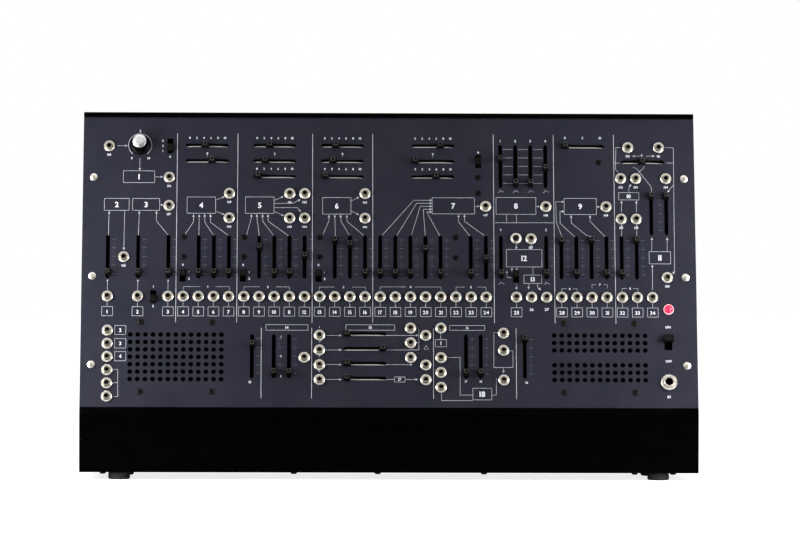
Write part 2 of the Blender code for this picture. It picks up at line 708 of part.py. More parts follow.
def speaker_hole_places():
    """Grid of holes before each speaker. The right grid has no middle row."""
    across_middle = (SPEAKER_HOLE_COLUMNS - 1) / 2
    up_middle = (SPEAKER_HOLE_ROWS - 1) / 2
    for number, middle in enumerate(speaker_places()):
        for i in range(SPEAKER_HOLE_COLUMNS):
            for j in range(SPEAKER_HOLE_ROWS):
                if number == 1 and j == up_middle:
                    continue
                u = (i - across_middle) * SPEAKER_HOLE_PITCH
                v = (j - up_middle) * SPEAKER_HOLE_PITCH
                yield middle @ at(u, v)


def front_panel(frame):
    """Flat panel with its slots, socket holes, speaker holes and dark screws."""
    shape = bmesh.new()
    box(shape, (-HALF_WIDTH, GAP, -PANEL_THICKNESS), (HALF_WIDTH, PANEL_LENGTH - GAP, 0))
    panel = finish_object("front_panel", shape, "slate_paint", frame)
    low = -PANEL_THICKNESS - OVERRUN
    holes = bmesh.new()

    def round_hole(place, radius, sides, turn=0.0):
        turned(holes, place, ((radius, low), (radius, OVERRUN)), sides, turn)

    def slot(place, width, length):
        stepped(holes, place, ((width / 2, length / 2, low), (width / 2, length / 2, OVERRUN)))

    # The nuts hide the socket holes, so four corners are enough.
    socket_width = 2 * (SOCKET_RADIUS * math.cos(math.pi / SMALL_SIDES) + GAP)
    for place in socket_places() + [button_place()]:
        slot(place, socket_width, 2 * (SOCKET_RADIUS + GAP))
    for place in slot_places():
        slot(place, SLOT_WIDTH, SLOT_LENGTH)
    for place in switch_places():
        slot(place, SWITCH_SLOT_WIDTH, SWITCH_SLOT_LENGTH)
    slot(edge_place(POWER_SHARE), POWER_SLOT_WIDTH, POWER_SLOT_LENGTH)
    for place in speaker_hole_places():
        round_hole(place, SPEAKER_HOLE_RADIUS, SOUND_HOLE_SIDES, math.pi / SOUND_HOLE_SIDES)
    for side in (-1, 1):
        for place in panel_screw_places(side):
            round_hole(place, PANEL_SCREW_SHANK + GAP, SMALL_SIDES)
    round_hole(knob_place(), SHAFT_RADIUS + GAP, ROUND_SIDES)
    round_hole(lamp_place(), LAMP_STEM_RADIUS + GAP, ROUND_SIDES)
    round_hole(edge_place(HEADPHONE_SHARE), PHONE_BUSHING_RADIUS + GAP, ROUND_SIDES)
    combine(panel, "DIFFERENCE", holes)
    screws = bmesh.new()
    half = SPEAKER_SCREW_PITCH / 2
    for middle in speaker_places():
        for u in (-half, half):
            for v in (-half, half):
                screw_head(screws, middle @ at(u, v), BLACK_SCREW_RADIUS, BLACK_SCREW_HEIGHT)
    for column, share in DARK_SCREW_SHARES:
        screw_head(screws, at(column_u(column), row_v(share)), DARK_SCREW_RADIUS, DARK_SCREW_HEIGHT)
    combine(panel, "UNION", screws)


def phone_socket(shape, place, behind, bushing, nut_radius, nut_height, proud):
    """Large socket with its body behind a wall, its nut before the wall and a blind bore."""
    profile = (
        (PHONE_BODY_RADIUS, behind - PHONE_BODY_DEPTH),
        (PHONE_BODY_RADIUS, behind),
        (bushing, behind),
        (bushing, GAP),
        (nut_radius, GAP),
        (nut_radius, nut_height),
        (bushing, nut_height),
        (bushing, proud),
        (PHONE_BORE_RADIUS, proud),
        (PHONE_BORE_RADIUS, proud - PHONE_BORE_DEPTH),
    )
    turned(shape, place, profile, ROUND_SIDES)


def headphone_socket(frame):
    """Large socket at the panel's corner, with its nut."""
    shape = bmesh.new()
    sizes = (PHONE_BUSHING_RADIUS, PHONE_NUT_RADIUS, PHONE_NUT_HEIGHT, PHONE_PROUD)
    phone_socket(shape, Matrix.Identity(4), BEHIND_PANEL, *sizes)
    finish_object("headphone_socket", shape, "nickel", frame, edge_place(HEADPHONE_SHARE))


def patch_socket(shape, place, bore_radius, bore_bottom):
    """Threaded barrel that stands on its board, with its nut before the panel and a blind bore."""
    profile = (
        (SOCKET_RADIUS, BOARD_FRONT - SOLDER_DEPTH),
        (SOCKET_RADIUS, GAP),
        (NUT_RADIUS, GAP),
        (NUT_RADIUS, NUT_HEIGHT),
        (SOCKET_RADIUS, NUT_HEIGHT),
        (SOCKET_RADIUS, SOCKET_PROUD),
        (bore_radius, SOCKET_PROUD),
        (bore_radius, bore_bottom),
    )
    turned(shape, place, profile, SMALL_SIDES, math.pi / SMALL_SIDES)


def slider_channel(shape, place):
    """Channel-shaped body of a moving slider, which guides its stem."""
    half = FRAME_WIDTH / 2
    half_slot = FRAME_SLOT_WIDTH / 2
    back = BOARD_FRONT - SOLDER_DEPTH
    floor = BEHIND_PANEL - FRAME_SLOT_DEPTH
    section = (
        (-half, back), (half, back), (half, BEHIND_PANEL), (half_slot, BEHIND_PANEL),
        (half_slot, floor), (-half_slot, floor), (-half_slot, BEHIND_PANEL), (-half, BEHIND_PANEL),
    )
    ends = (-FRAME_LENGTH / 2, FRAME_LENGTH / 2)
    loft(shape, [[place @ Vector((x, y, z)) for x, z in section] for y in ends])


def slider_top(place):
    """Loops of a slider's stem and cap above its frame, from below."""
    stem = (STEM_WIDTH / 2, STEM_LENGTH / 2)
    return [
        rectangle(*stem, CAP_LIFT, place),
        rectangle(CAP_WIDTH / 2, CAP_LENGTH / 2, CAP_LIFT, place),
        rectangle(CAP_TOP_WIDTH / 2, CAP_TOP_LENGTH / 2, CAP_TOP, place),
    ]


def stem_loop(depth, place):
    """Loop of a slider's stem at a depth."""
    return rectangle(STEM_WIDTH / 2, STEM_LENGTH / 2, depth, place)


def setting_place(place, setting, travel):
    """Placement of a moving piece along its slot."""
    return place @ at(0, (setting - 0.5) * travel)


def fixed_slider(shape, place, setting):
    """Body and cap of a slider that is one piece with its board."""
    frame_size = (FRAME_WIDTH / 2, FRAME_LENGTH / 2)
    cap_place = setting_place(place, setting, SLIDER_TRAVEL)
    loops = [
        rectangle(*frame_size, BOARD_FRONT - SOLDER_DEPTH, place),
        rectangle(*frame_size, BEHIND_PANEL, place),
        stem_loop(BEHIND_PANEL, cap_place),
    ]
    loft(shape, loops + slider_top(cap_place))


def switch_body(shape, place, width, length):
    """Open box behind a slide switch's slot."""
    outer = (width / 2 + SWITCH_WALL, length / 2 + SWITCH_WALL)
    inner = (width / 2, length / 2)
    profile = (
        (*outer, BOARD_FRONT - SOLDER_DEPTH),
        (*outer, BEHIND_PANEL),
        (*inner, BEHIND_PANEL),
        (*inner, BEHIND_PANEL - SWITCH_CAVITY_DEPTH),
    )
    stepped(shape, place, profile)


def board_parts():
    """What is soldered to the control boards, as (place, function that adds it)."""
    for place in socket_places():
        bottom = SOCKET_PROUD - SOCKET_BORE_DEPTH
        yield place, lambda shape, at_place, b=bottom: patch_socket(shape, at_place, SOCKET_BORE_RADIUS, b)
    button_bottom = -BUTTON_DEPTH - BUTTON_TRAVEL - GAP
    yield button_place(), lambda shape, place: patch_socket(shape, place, BUTTON_BORE_RADIUS, button_bottom)
    for _, place, _ in moving_sliders():
        yield place, slider_channel
    for place, setting in fixed_sliders():
        yield place, lambda shape, at_place, s=setting: fixed_slider(shape, at_place, s)
    for place in switch_places():
        yield place, lambda shape, at_place: switch_body(shape, at_place, SWITCH_SLOT_WIDTH, SWITCH_SLOT_LENGTH)
    yield edge_place(POWER_SHARE), lambda shape, place: switch_body(shape, place, POWER_SLOT_WIDTH, POWER_SLOT_LENGTH)
    yield knob_place(), preamp_body


def preamp_body(shape, place):
    """Body of the rotary control, with the bore for its shaft."""
    profile = (
        (POT_RADIUS, BOARD_FRONT - SOLDER_DEPTH),
        (POT_RADIUS, BEHIND_PANEL),
        (SHAFT_RADIUS + GAP, BEHIND_PANEL),
        (SHAFT_RADIUS + GAP, BEHIND_PANEL - POT_BORE_DEPTH),
    )
    turned(shape, place, profile, ROUND_SIDES)


def split_u(v):
    """Where the two control boards part, at a height up the panel."""
    below, above = (column_u(column) for column in BOARD_SPLIT_COLUMNS)
    return below if v < row_v(BOARD_SPLIT_SHARE) else above


def board_outlines():
    """Outlines of the left and right control boards, notched for the speakers."""
    left, right = (column_u(column) for column in SPEAKER_COLUMNS)
    edge = SPEAKER_HALF + BOARD_MARGIN
    bottom = BOARD_MARGIN
    notch = row_v(SPEAKER_SHARE) + edge
    top = PANEL_LENGTH - 2 * BOARD_MARGIN
    headphone_top = row_v(HEADPHONE_SHARE) + PHONE_BODY_RADIUS + BOARD_MARGIN / 2
    jog = row_v(BOARD_SPLIT_SHARE)
    below, above = split_u(bottom), split_u(top)
    left_outline = (
        (-BOARD_HALF_WIDTH, bottom), (left - edge, bottom), (left - edge, notch), (left + edge, notch),
        (left + edge, bottom), (below - GAP, bottom), (below - GAP, jog - GAP), (above - GAP, jog - GAP),
        (above - GAP, top), (-BOARD_HALF_WIDTH, top),
    )
    right_outline = (
        (below + GAP, bottom), (right - edge, bottom), (right - edge, notch), (right + edge, notch),
        (right + edge, headphone_top), (BOARD_HALF_WIDTH, headphone_top), (BOARD_HALF_WIDTH, top),
        (above + GAP, top), (above + GAP, jog + GAP), (below + GAP, jog + GAP),
    )
    return left_outline, right_outline


def control_boards(frame):
    """Two boards behind the panel, with the sockets and the slider and switch bodies on them."""
    for name, outline, side in zip(("left_control_board", "right_control_board"), board_outlines(), (-1, 1)):
        shape = bmesh.new()
        loft(shape, [[Vector((u, v, w)) for u, v in outline] for w in (BOARD_FRONT - BOARD_THICKNESS, BOARD_FRONT)])
        board = finish_object(name, shape, "circuit_board", frame)
        parts = bmesh.new()
        for place, add in board_parts():
            middle = place.translation
            if (middle.x - split_u(middle.y)) * side > 0:
                add(parts, place)
        combine(board, "UNION", parts)


def sliders(frame):
    """Moving sliders, each with its origin on its own line of travel."""
    for node, place, setting in moving_sliders():
        shape = bmesh.new()
        middle = Matrix.Identity(4)
        loft(shape, [stem_loop(BEHIND_PANEL - STEM_DEPTH + OVERRUN, middle)] + slider_top(middle))
        finish_object(node, shape, "black_plastic", frame, setting_place(place, setting, SLIDER_TRAVEL))


def switch_levers(frame):
    """Moving levers of the slide switches, and the power switch's cap."""
    half = (SWITCH_LEVER_WIDTH / 2, SWITCH_LEVER_LENGTH / 2)
    bottom = BEHIND_PANEL - SWITCH_CAVITY_DEPTH + GAP
    for (node, _, _, setting), place in zip(SWITCH_SHARES, switch_places()):
        shape = bmesh.new()
        stepped(shape, Matrix.Identity(4), ((*half, bottom), (*half, SWITCH_LEVER_TOP)))
        finish_object(node, shape, "black_plastic", frame, setting_place(place, setting, SWITCH_TRAVEL))
    profile = (
        (POWER_STEM_WIDTH / 2, POWER_STEM_LENGTH / 2, bottom),
        (POWER_STEM_WIDTH / 2, POWER_STEM_LENGTH / 2, CAP_LIFT),
        (POWER_CAP_WIDTH / 2, POWER_CAP_LENGTH / 2, CAP_LIFT),
        (POWER_CAP_WIDTH / 2, POWER_CAP_LENGTH / 2, POWER_CAP_TOP),
    )
    shape = bmesh.new()
    stepped(shape, Matrix.Identity(4), profile)
    place = setting_place(edge_place(POWER_SHARE), 1.0, POWER_TRAVEL)
    finish_object("power_switch", shape, "black_plastic", frame, place)


def preamp_knob(frame):
    """Knob of the rotary control, with its shaft."""
    profile = (
        (SHAFT_RADIUS, BEHIND_PANEL - SHAFT_DEPTH),
        (SHAFT_RADIUS, CAP_LIFT),
        (KNOB_SKIRT_RADIUS, CAP_LIFT),
        (KNOB_SKIRT_RADIUS, KNOB_SKIRT_HEIGHT),
        (KNOB_RADIUS, KNOB_SKIRT_HEIGHT),
        (KNOB_RADIUS, KNOB_RIM_HEIGHT),
        (KNOB_TOP_RADIUS, KNOB_RIM_HEIGHT),
        (KNOB_TOP_RADIUS, KNOB_HEIGHT),
    )
    shape = bmesh.new()
    turned(shape, Matrix.Identity(4), profile, ROUND_SIDES)
    finish_object("preamp_knob", shape, "black_plastic", frame, knob_place())


def start_button(frame):
    """Push button in its barrel."""
    shape = bmesh.new()
    profile = ((BUTTON_RADIUS, -BUTTON_DEPTH), (BUTTON_RADIUS, BUTTON_TOP))
    turned(shape, Matrix.Identity(4), profile, SMALL_SIDES, math.pi / SMALL_SIDES)
    finish_object("start_button", shape, "black_plastic", frame, button_place())


def power_lamp(frame):
    """Red lens with its rim and stem."""
    profile = (
        (LAMP_STEM_RADIUS, BOARD_FRONT + GAP),
        (LAMP_STEM_RADIUS, GAP),
        (LAMP_RADIUS, GAP),
        (LAMP_RADIUS, LAMP_RIM_HEIGHT),
        (LAMP_STEM_RADIUS, LAMP_HEIGHT),
    )
    shape = bmesh.new()
    turned(shape, Matrix.Identity(4), profile, ROUND_SIDES)
    finish_object("power_lamp", shape, "red_lens", frame, lamp_place())


def square_loop(half, depth):
    """Square with two points on each side besides its corners' own, to match a round loop."""
    third = half / 3
    points = []
    for quarter in range(4):
        side = Matrix.Rotation(math.radians(90) * quarter, 2)
        points += [side @ Vector((half, offset)) for offset in (-third, third, half)]
    return [Vector((point.x, point.y, depth)) for point in points]


def speaker(name, frame, place):
    """Speaker behind the panel's holes: magnet, basket, flange and open cone."""
    flange_back = BEHIND_PANEL - SPEAKER_FLANGE
    basket = flange_back - SPEAKER_BASKET_DEPTH
    start = math.atan2(-1, 3)

    def ring(radius, depth):
        return circle(radius, depth, ROUND_SIDES, turn=start)

    loops = [
        ring(SPEAKER_MAGNET_RADIUS, basket - SPEAKER_MAGNET_DEPTH),
        ring(SPEAKER_MAGNET_RADIUS, basket),
        ring(SPEAKER_NECK_RADIUS, basket),
        ring(SPEAKER_BASKET_RADIUS, flange_back),
        square_loop(SPEAKER_HALF, flange_back),
        square_loop(SPEAKER_HALF, BEHIND_PANEL),
        ring(SPEAKER_CONE_RADIUS, BEHIND_PANEL),
        ring(SPEAKER_DUST_CAP_RADIUS, BEHIND_PANEL - SPEAKER_CONE_DEPTH),
    ]
    shape = bmesh.new()
    loft(shape, loops)
    finish_object(name, shape, "black_steel", frame, place)


def speakers(frame):
    """Both speakers."""
    for name, place in zip(("left_speaker", "right_speaker"), speaker_places()):
        speaker(name, frame, place)


def reverb_tank():
    """Open tray on the floor with a transducer at each end and two springs between them."""
    floor = FOOT_HEIGHT + SHEET_THICKNESS + GAP
    middle_y = BACK_Y - SHEET_THICKNESS - TANK_REAR_SPACE - TANK_DEPTH / 2
    outer = (TANK_LENGTH / 2, TANK_DEPTH / 2)
    inner = (TANK_LENGTH / 2 - TANK_WALL, TANK_DEPTH / 2 - TANK_WALL)
    shape = bmesh.new()
    stepped(shape, Matrix.Identity(4), ((*outer, 0), (*outer, TANK_HEIGHT), (*inner, TANK_HEIGHT), (*inner, TANK_WALL)))
    tank = finish_object("reverb_tank", shape, "zinc_steel", place=at(TANK_MIDDLE_SHARE * HALF_WIDTH, middle_y, floor))
    blocks = bmesh.new()
    far = TANK_LENGTH / 2 - TRANSDUCER_INSET
    near = far - TRANSDUCER_LENGTH
    half_depth = TRANSDUCER_DEPTH / 2
    for side in (-1, 1):
        low_x, high_x = sorted((side * near, side * far))
        low = (low_x, -half_depth, TANK_WALL - SCREW_ROOT)
        box(blocks, low, (high_x, half_depth, TANK_WALL + TRANSDUCER_HEIGHT))
    combine(tank, "UNION", blocks)
    springs = bmesh.new()
    reach = near + OVERRUN
    for side in (-1, 1):
        place = at(0, side * SPRING_SPACING / 2, SPRING_HEIGHT) @ Matrix.Rotation(math.pi / 2, 4, "Y")
        turned(springs, place, ((SPRING_RADIUS, -reach), (SPRING_RADIUS, reach)), SMALL_SIDES)
    combine(tank, "UNION", springs)


def rear_connectors():
    """Rear board with two large output sockets, a round five-pole socket, two data sockets and the power inlet."""
    low_x, high_x = (share * HALF_WIDTH for share in REAR_BOARD_SHARES)
    inside = BACK_Y - SHEET_THICKNESS - GAP
    low = (low_x, inside - REAR_BOARD_DEPTH, REAR_BOARD_TOP - BOARD_THICKNESS)
    shape = bmesh.new()
    box(shape, low, (high_x, inside, REAR_BOARD_TOP))
    board = finish_object("connector_board", shape, "circuit_board")
    parts = bmesh.new()
    behind = -SHEET_THICKNESS - GAP
    sizes = (REAR_BUSHING_RADIUS, REAR_NUT_RADIUS, REAR_NUT_HEIGHT, REAR_PROTRUSION)
    for place in output_places():
        phone_socket(parts, place, behind, *sizes)
    ringed = (
        (DIN_SHARE, DIN_RADIUS, DIN_SHELL_RADIUS, DIN_CORE_RADIUS, DIN_DEPTH),
        (POWER_INLET_SHARE, POWER_INLET_RADIUS, POWER_INLET_BORE_RADIUS, POWER_INLET_PIN_RADIUS, POWER_INLET_DEPTH),
    )
    for share, radius, shell, core, depth in ringed:
        profile = (
            (radius, -depth),
            (radius, GAP),
            (shell, GAP),
            (shell, -DIN_GROOVE_DEPTH),
            (core, -DIN_GROOVE_DEPTH),
            (core, 0),
        )
        turned(parts, seated(share, radius), profile, ROUND_SIDES)
    for place, half_x, half_y in square_connectors():
        outer = (half_x + USB_SHELL, half_y + USB_SHELL)
        inner = (half_x, half_y)
        profile = ((*outer, -USB_DEPTH), (*outer, GAP), (*inner, GAP), (*inner, -USB_CAVITY_DEPTH))
        stepped(parts, place, profile)
    combine(board, "UNION", parts)


def build():
    """Make the whole instrument."""
    clear_scene()
    frame = panel_frame()
    base_pan()
    rear_cover()
    end_panel("left_end_panel", -1)
    end_panel("right_end_panel", 1)
    rubber_feet()
    front_panel(frame)
    control_boards(frame)
    headphone_socket(frame)
    sliders(frame)
    switch_levers(frame)
    preamp_knob(frame)
    start_button(frame)
    power_lamp(frame)
    speakers(frame)
    reverb_tank()
    rear_connectors()


build()
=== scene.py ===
"""Looks of the compact semi-modular synthesizer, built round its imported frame.

Metres, +Z up, front towards -Y. What stands on the sloping panel is placed in the panel's
own frame: u runs along +X from the middle, v runs up the slope from the panel's lower edge,
and w stands out of the panel, with 0 on its front face.
"""

import math
import random

import bmesh
import bpy
from mathutils import Matrix, Vector


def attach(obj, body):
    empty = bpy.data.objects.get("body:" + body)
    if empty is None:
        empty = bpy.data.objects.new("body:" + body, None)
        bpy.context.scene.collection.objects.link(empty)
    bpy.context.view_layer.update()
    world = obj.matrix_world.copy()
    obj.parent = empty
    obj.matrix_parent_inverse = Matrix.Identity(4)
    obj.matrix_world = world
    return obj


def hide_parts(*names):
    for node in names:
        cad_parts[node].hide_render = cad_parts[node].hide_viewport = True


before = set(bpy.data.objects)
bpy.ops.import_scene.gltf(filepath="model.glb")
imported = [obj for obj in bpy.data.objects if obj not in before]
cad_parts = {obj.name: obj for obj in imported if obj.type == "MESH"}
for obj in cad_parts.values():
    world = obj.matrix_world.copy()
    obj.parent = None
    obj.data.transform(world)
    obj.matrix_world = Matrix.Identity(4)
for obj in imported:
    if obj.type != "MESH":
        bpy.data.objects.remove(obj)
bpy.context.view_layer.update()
MM = 0.001
random.seed(5)

# Case, as in the CAD
CASE_WIDTH = 0.521
CASE_DEPTH = 0.126
OVERALL_HEIGHT = 0.311
FOOT_HEIGHT = 0.0062
BEND_HEIGHT = 0.0557
PANEL_FOOT_HEIGHT = 0.0610
TOP_LIP = 0.0043
LEAN = math.radians(14.0)
PANEL_THICKNESS = 0.002
PANEL_RECESS = 0.001
SHEET = 0.0015
END_THICKNESS = 0.002
END_FLANGE = 0.016
FLANGE_MARGIN = 0.010
PANEL_SCREW_INSET = 0.0092
FLOOR_SCREW_INSET = 0.008
FOOT_INSET, FRONT_FOOT_INSET, REAR_FOOT_INSET = 0.0330, 0.015, 0.031
GAP = 0.0003
REAR_PROTRUSION = 0.003
HALF_WIDTH = CASE_WIDTH / 2
FRONT_Y = -(CASE_DEPTH + REAR_PROTRUSION) / 2
BACK_Y = FRONT_Y + CASE_DEPTH
PITCH = CASE_WIDTH / 40.64
MIDDLE_COLUMN = 18.6
PANEL_LENGTH = (OVERALL_HEIGHT - PANEL_FOOT_HEIGHT) / math.cos(LEAN) - TOP_LIP
BEHIND = -PANEL_THICKNESS - GAP
FRAME_DEPTH = 0.007
SLIT_DEPTH = 0.0055
BOARD_FRONT = BEHIND - FRAME_DEPTH - GAP
BOARD_THICKNESS = 0.0016
TRAVEL, SWITCH_TRAVEL, POWER_TRAVEL = 0.030, 0.004, 0.006
SWITCH_HALF = 0.0026
POWER_SIZE = (0.0033, 0.0066)
SPEAKER_HALF = 0.0345
SLOT_LENGTH = 0.0381
LEVEL_SLOT_LENGTH = 0.0364
OUT = Vector((0, -math.cos(LEAN), math.sin(LEAN)))
LEVEL = Matrix.Rotation(math.radians(-90), 4, "Z")
HERE = Matrix.Identity(4)
SIDES = 24
EDGE_ANGLE = math.radians(32)


def slope_point(height):
    """Point of the side view, as y and z, where the slope passes a height."""
    return Vector((FRONT_Y + (height - BEND_HEIGHT) * math.tan(LEAN), height))


FOOT_POINT = slope_point(PANEL_FOOT_HEIGHT)
PANEL = Matrix.Translation(Vector((0, FOOT_POINT.x, FOOT_POINT.y)) - PANEL_RECESS * OUT)
PANEL = PANEL @ Matrix.Rotation(math.radians(90) - LEAN, 4, "X")

# Rows of the panel, as shares of its length, and places of what it carries
TUNE, TUNE_2, TUNE_3 = 0.9029, 0.8491, 0.7957
TUNE_SOCKET, EDGE_SOCKET, PREAMP_SWITCH = 0.8986, 0.7903, 0.9007
UPPER, MIDDLE, LOWER = 0.7349, 0.6920, 0.6496
ENVELOPE, REVERB, MAIN, LOW_SLOT, SPEAKER = 0.8328, 0.6702, 0.5165, 0.1757, 0.1725
GATE, FOLLOWER, RANGE, PATCH = 0.5802, 0.5142, 0.4520, 0.3787
LAMP, POWER, PHONES = 0.3380, 0.2250, 0.0888
PROCESSOR, PROCESSOR_STEP = 0.2716, 0.0505
MULTIPLE, MULTIPLE_STEP = 0.2618, 0.0450
EDGE, LAMP_COLUMN, MULTIPLE_COLUMN, KNOB_COLUMN, START_COLUMN = 37, 37.05, 0.04, 2.04, 27
MULTIPLE_SOCKETS = 6
ROW_COLUMNS = (0, 2, 4, *range(5, 26), 27, 28, *range(29, 37))
MODULE_SOCKETS = (
    (0, TUNE_SOCKET), (4, EDGE_SOCKET), (4, MIDDLE), (1.05, FOLLOWER), (8, UPPER), (8, LOWER),
    (12, UPPER), (13, UPPER), (12, LOWER), (13, LOWER), (17, UPPER), (17, LOWER),
    (25, MIDDLE), (29, MIDDLE), (33, MIDDLE), (34.5, TUNE_SOCKET), (36.55, TUNE_SOCKET),
    (34, EDGE_SOCKET), (35, EDGE_SOCKET), (37, EDGE_SOCKET), (34, LOWER), (35, LOWER),
    (28, GATE), (EDGE, 0.4475),
)
LOWER_SOCKETS = (
    (13, 2), (14, 0.5), (14, 1.5), (14, 2.5), (14, 3.5), (20, 0), (20, 1), (20, 2), (21, 0.5), (21, 2.5),
    (21, 3.5), (22, 0), (22, 2), (22, 3), (22, 4), (26.13, 0.33), (26.13, 1.5), (26.13, 3.5),
)
UPRIGHT_SLIDERS = (
    ("follower_slider", 0, MAIN, 0.03), ("ring_slider_1", 2, MAIN, 0.03), ("ring_slider_2", 4, MAIN, 0.03),
    ("oscillator_2_slider_1", 10, MAIN, 0.77), ("oscillator_2_slider_4", 13, MAIN, 0.52),
    ("oscillator_3_slider_1", 15, MAIN, 0.98), ("oscillator_3_slider_2", 16, MAIN, 0.86),
    ("filter_slider_4", 21, MAIN, 0.72), ("filter_slider_7", 25, MAIN, 0.45),
    ("amplifier_slider_1", 30, MAIN, 0.98), ("amplifier_slider_3", 32, MAIN, 1.0),
    ("mixer_slider_2", 35, MAIN, 1.0), ("left_reverb_slider", 36, REVERB, 1.0),
    ("right_reverb_slider", 37, REVERB, 1.0), ("attack_slider", 26, ENVELOPE, 0.7),
    ("decay_slider", 27, ENVELOPE, 0.0), ("sustain_slider", 28, ENVELOPE, 0.0),
    ("release_slider", 29, ENVELOPE, 0.44), ("left_speaker_slider", 9.56, LOW_SLOT, 0.84),
    ("right_speaker_slider", 27.52, LOW_SLOT, 1.0),
)
LEVEL_SLIDERS = (
    ("oscillator_1_coarse_slider", 6.51, TUNE, 0.44), ("oscillator_1_fine_slider", 6.51, TUNE_2, 0.64),
    ("oscillator_2_coarse_slider", 10.99, TUNE, 0.36), ("oscillator_2_fine_slider", 10.99, TUNE_2, 0.23),
    ("oscillator_2_width_slider", 10.99, TUNE_3, 0.03), ("oscillator_3_coarse_slider", 15.50, TUNE, 0.31),
    ("oscillator_3_fine_slider", 15.50, TUNE_2, 0.23), ("oscillator_3_width_slider", 15.50, TUNE_3, 0.02),
    ("filter_coarse_slider", 21.51, TUNE, 0.71), ("filter_fine_slider", 21.51, TUNE_2, 0.0),
    ("filter_resonance_slider", 21.51, TUNE_3, 0.59), ("amplifier_gain_slider", 31.49, TUNE, 0.0),
    ("pan_slider", 35.48, TUNE_2, 0.48),
)
FIXED_COLUMNS = (6, 7, 8, 11, 12, 17, 18, 19, 20, 22, 24, 26, 29, 31, 33, 34)
FIXED_LOW_COLUMNS = (11, 12, 23.65, 24.62)
CLOSED = 0.03
PROCESSOR_COLUMN = 16.99
PROCESSOR_SLIDERS = ((0.39, 0.0), (1.39, 1.0), (2.39, 0.0), (3.39, 0.0))
SWITCHES = (
    ("preamp_range_switch", 4.05, PREAMP_SWITCH, 0.0), ("ring_coupling_switch", 3.03, PATCH, 0.0),
    ("oscillator_1_range_switch", 4.96, RANGE, 1.0), ("oscillator_2_range_switch", 8.94, RANGE, 1.0),
    ("oscillator_3_range_switch", 13.92, RANGE, 1.0), ("filter_keyboard_switch", 24.53, TUNE_2, 0.5),
    ("gate_switch", 26.99, RANGE, 1.0),
)
SPEAKER_COLUMNS = (4.55, 32.47)
DARK_SCREWS = (
    (5.01, 0.584), (5.01, 0.516), (8.98, 0.584), (8.98, 0.516), (13.99, 0.584), (13.99, 0.516),
    (23.01, 0.585), (23.01, 0.515), (24.51, 0.793), (24.51, 0.739), (32.56, 0.847),
)
PANEL_SCREW_SHARES = (0.790, 0.448, 0.145)
BOTTOM_SCREW_SHARES = (-0.925, -0.308, -0.037, 0.307, 0.795, 0.919)
REAR_SCREW_SHARES = (
    (-0.955, 0.09), (-0.955, 0.50), (-0.955, 0.93), (0.955, 0.09), (0.955, 0.50), (0.955, 0.93),
    (0.0, 0.06), (0.0, 0.95),
)


def column_u(column):
    """Place across the panel of a column of its grid."""
    return (column - MIDDLE_COLUMN) * PITCH


def at(u, v, w=0.0):
    """Placement without turning."""
    return Matrix.Translation((u, v, w))


def spot(column, share):
    """Placement of a point of the panel's grid, in the world."""
    return PANEL @ at(column_u(column), share * PANEL_LENGTH)


def processor_share(steps):
    """Row share of a place counted in steps below the first processor row."""
    return PROCESSOR - steps * PROCESSOR_STEP


def socket_spots():
    """Placements of all patch sockets."""
    found = [spot(column, PATCH) for column in ROW_COLUMNS]
    found += [spot(*pair) for pair in MODULE_SOCKETS]
    found += [spot(column, processor_share(steps)) for column, steps in LOWER_SOCKETS]
    found += [spot(MULTIPLE_COLUMN, MULTIPLE - i * MULTIPLE_STEP) for i in range(MULTIPLE_SOCKETS)]
    return found


def moving_slots():
    """Every moving slider, as (node, placement of its slot, setting)."""
    found = [(node, spot(column, share), setting) for node, column, share, setting in UPRIGHT_SLIDERS]
    found += [(node, spot(column, share) @ LEVEL, setting) for node, column, share, setting in LEVEL_SLIDERS]
    return found


def fixed_slots():
    """Every fixed slider, as (placement of its slot, setting)."""
    found = [(spot(column, MAIN), CLOSED) for column in FIXED_COLUMNS]
    found += [(spot(column, LOW_SLOT), CLOSED) for column in FIXED_LOW_COLUMNS]
    for steps, setting in PROCESSOR_SLIDERS:
        found.append((spot(PROCESSOR_COLUMN, processor_share(steps)) @ LEVEL, setting))
    return found


def all_slots():
    """Placements of all slider slots."""
    return [place for _, place, _ in moving_slots()] + [place for place, _ in fixed_slots()]


def is_level(place):
    """Whether a slot runs along the panel's rows."""
    return abs((place.to_3x3() @ Vector((0, 1, 0))).x) > 0.5


def switch_slot(name):
    """Half length of a slide switch's slot. The preamp's has three places."""
    return 0.0066 if name == "preamp_range_switch" else 0.0056


def panel_screw_places():
    """Placements of the bright screws along the panel's side edges."""
    for side in (-1, 1):
        for share in PANEL_SCREW_SHARES:
            yield PANEL @ at(side * (HALF_WIDTH - PANEL_SCREW_INSET), share * PANEL_LENGTH)


# Materials

NOISE_LOW, NOISE_HIGH = 0.3, 0.7


def link(tree, source, output, target, socket):
    """Join two node sockets."""
    tree.links.new(source.outputs[output], target.inputs[socket])


def node(tree, kind, **values):
    """Add a shader node with values on its properties or sockets."""
    made = tree.nodes.new("ShaderNode" + kind)
    for name, value in values.items():
        socket = made.inputs.get(name.replace("_", " ").title())
        if socket is None:
            setattr(made, name, value)
        else:
            socket.default_value = value
    return made


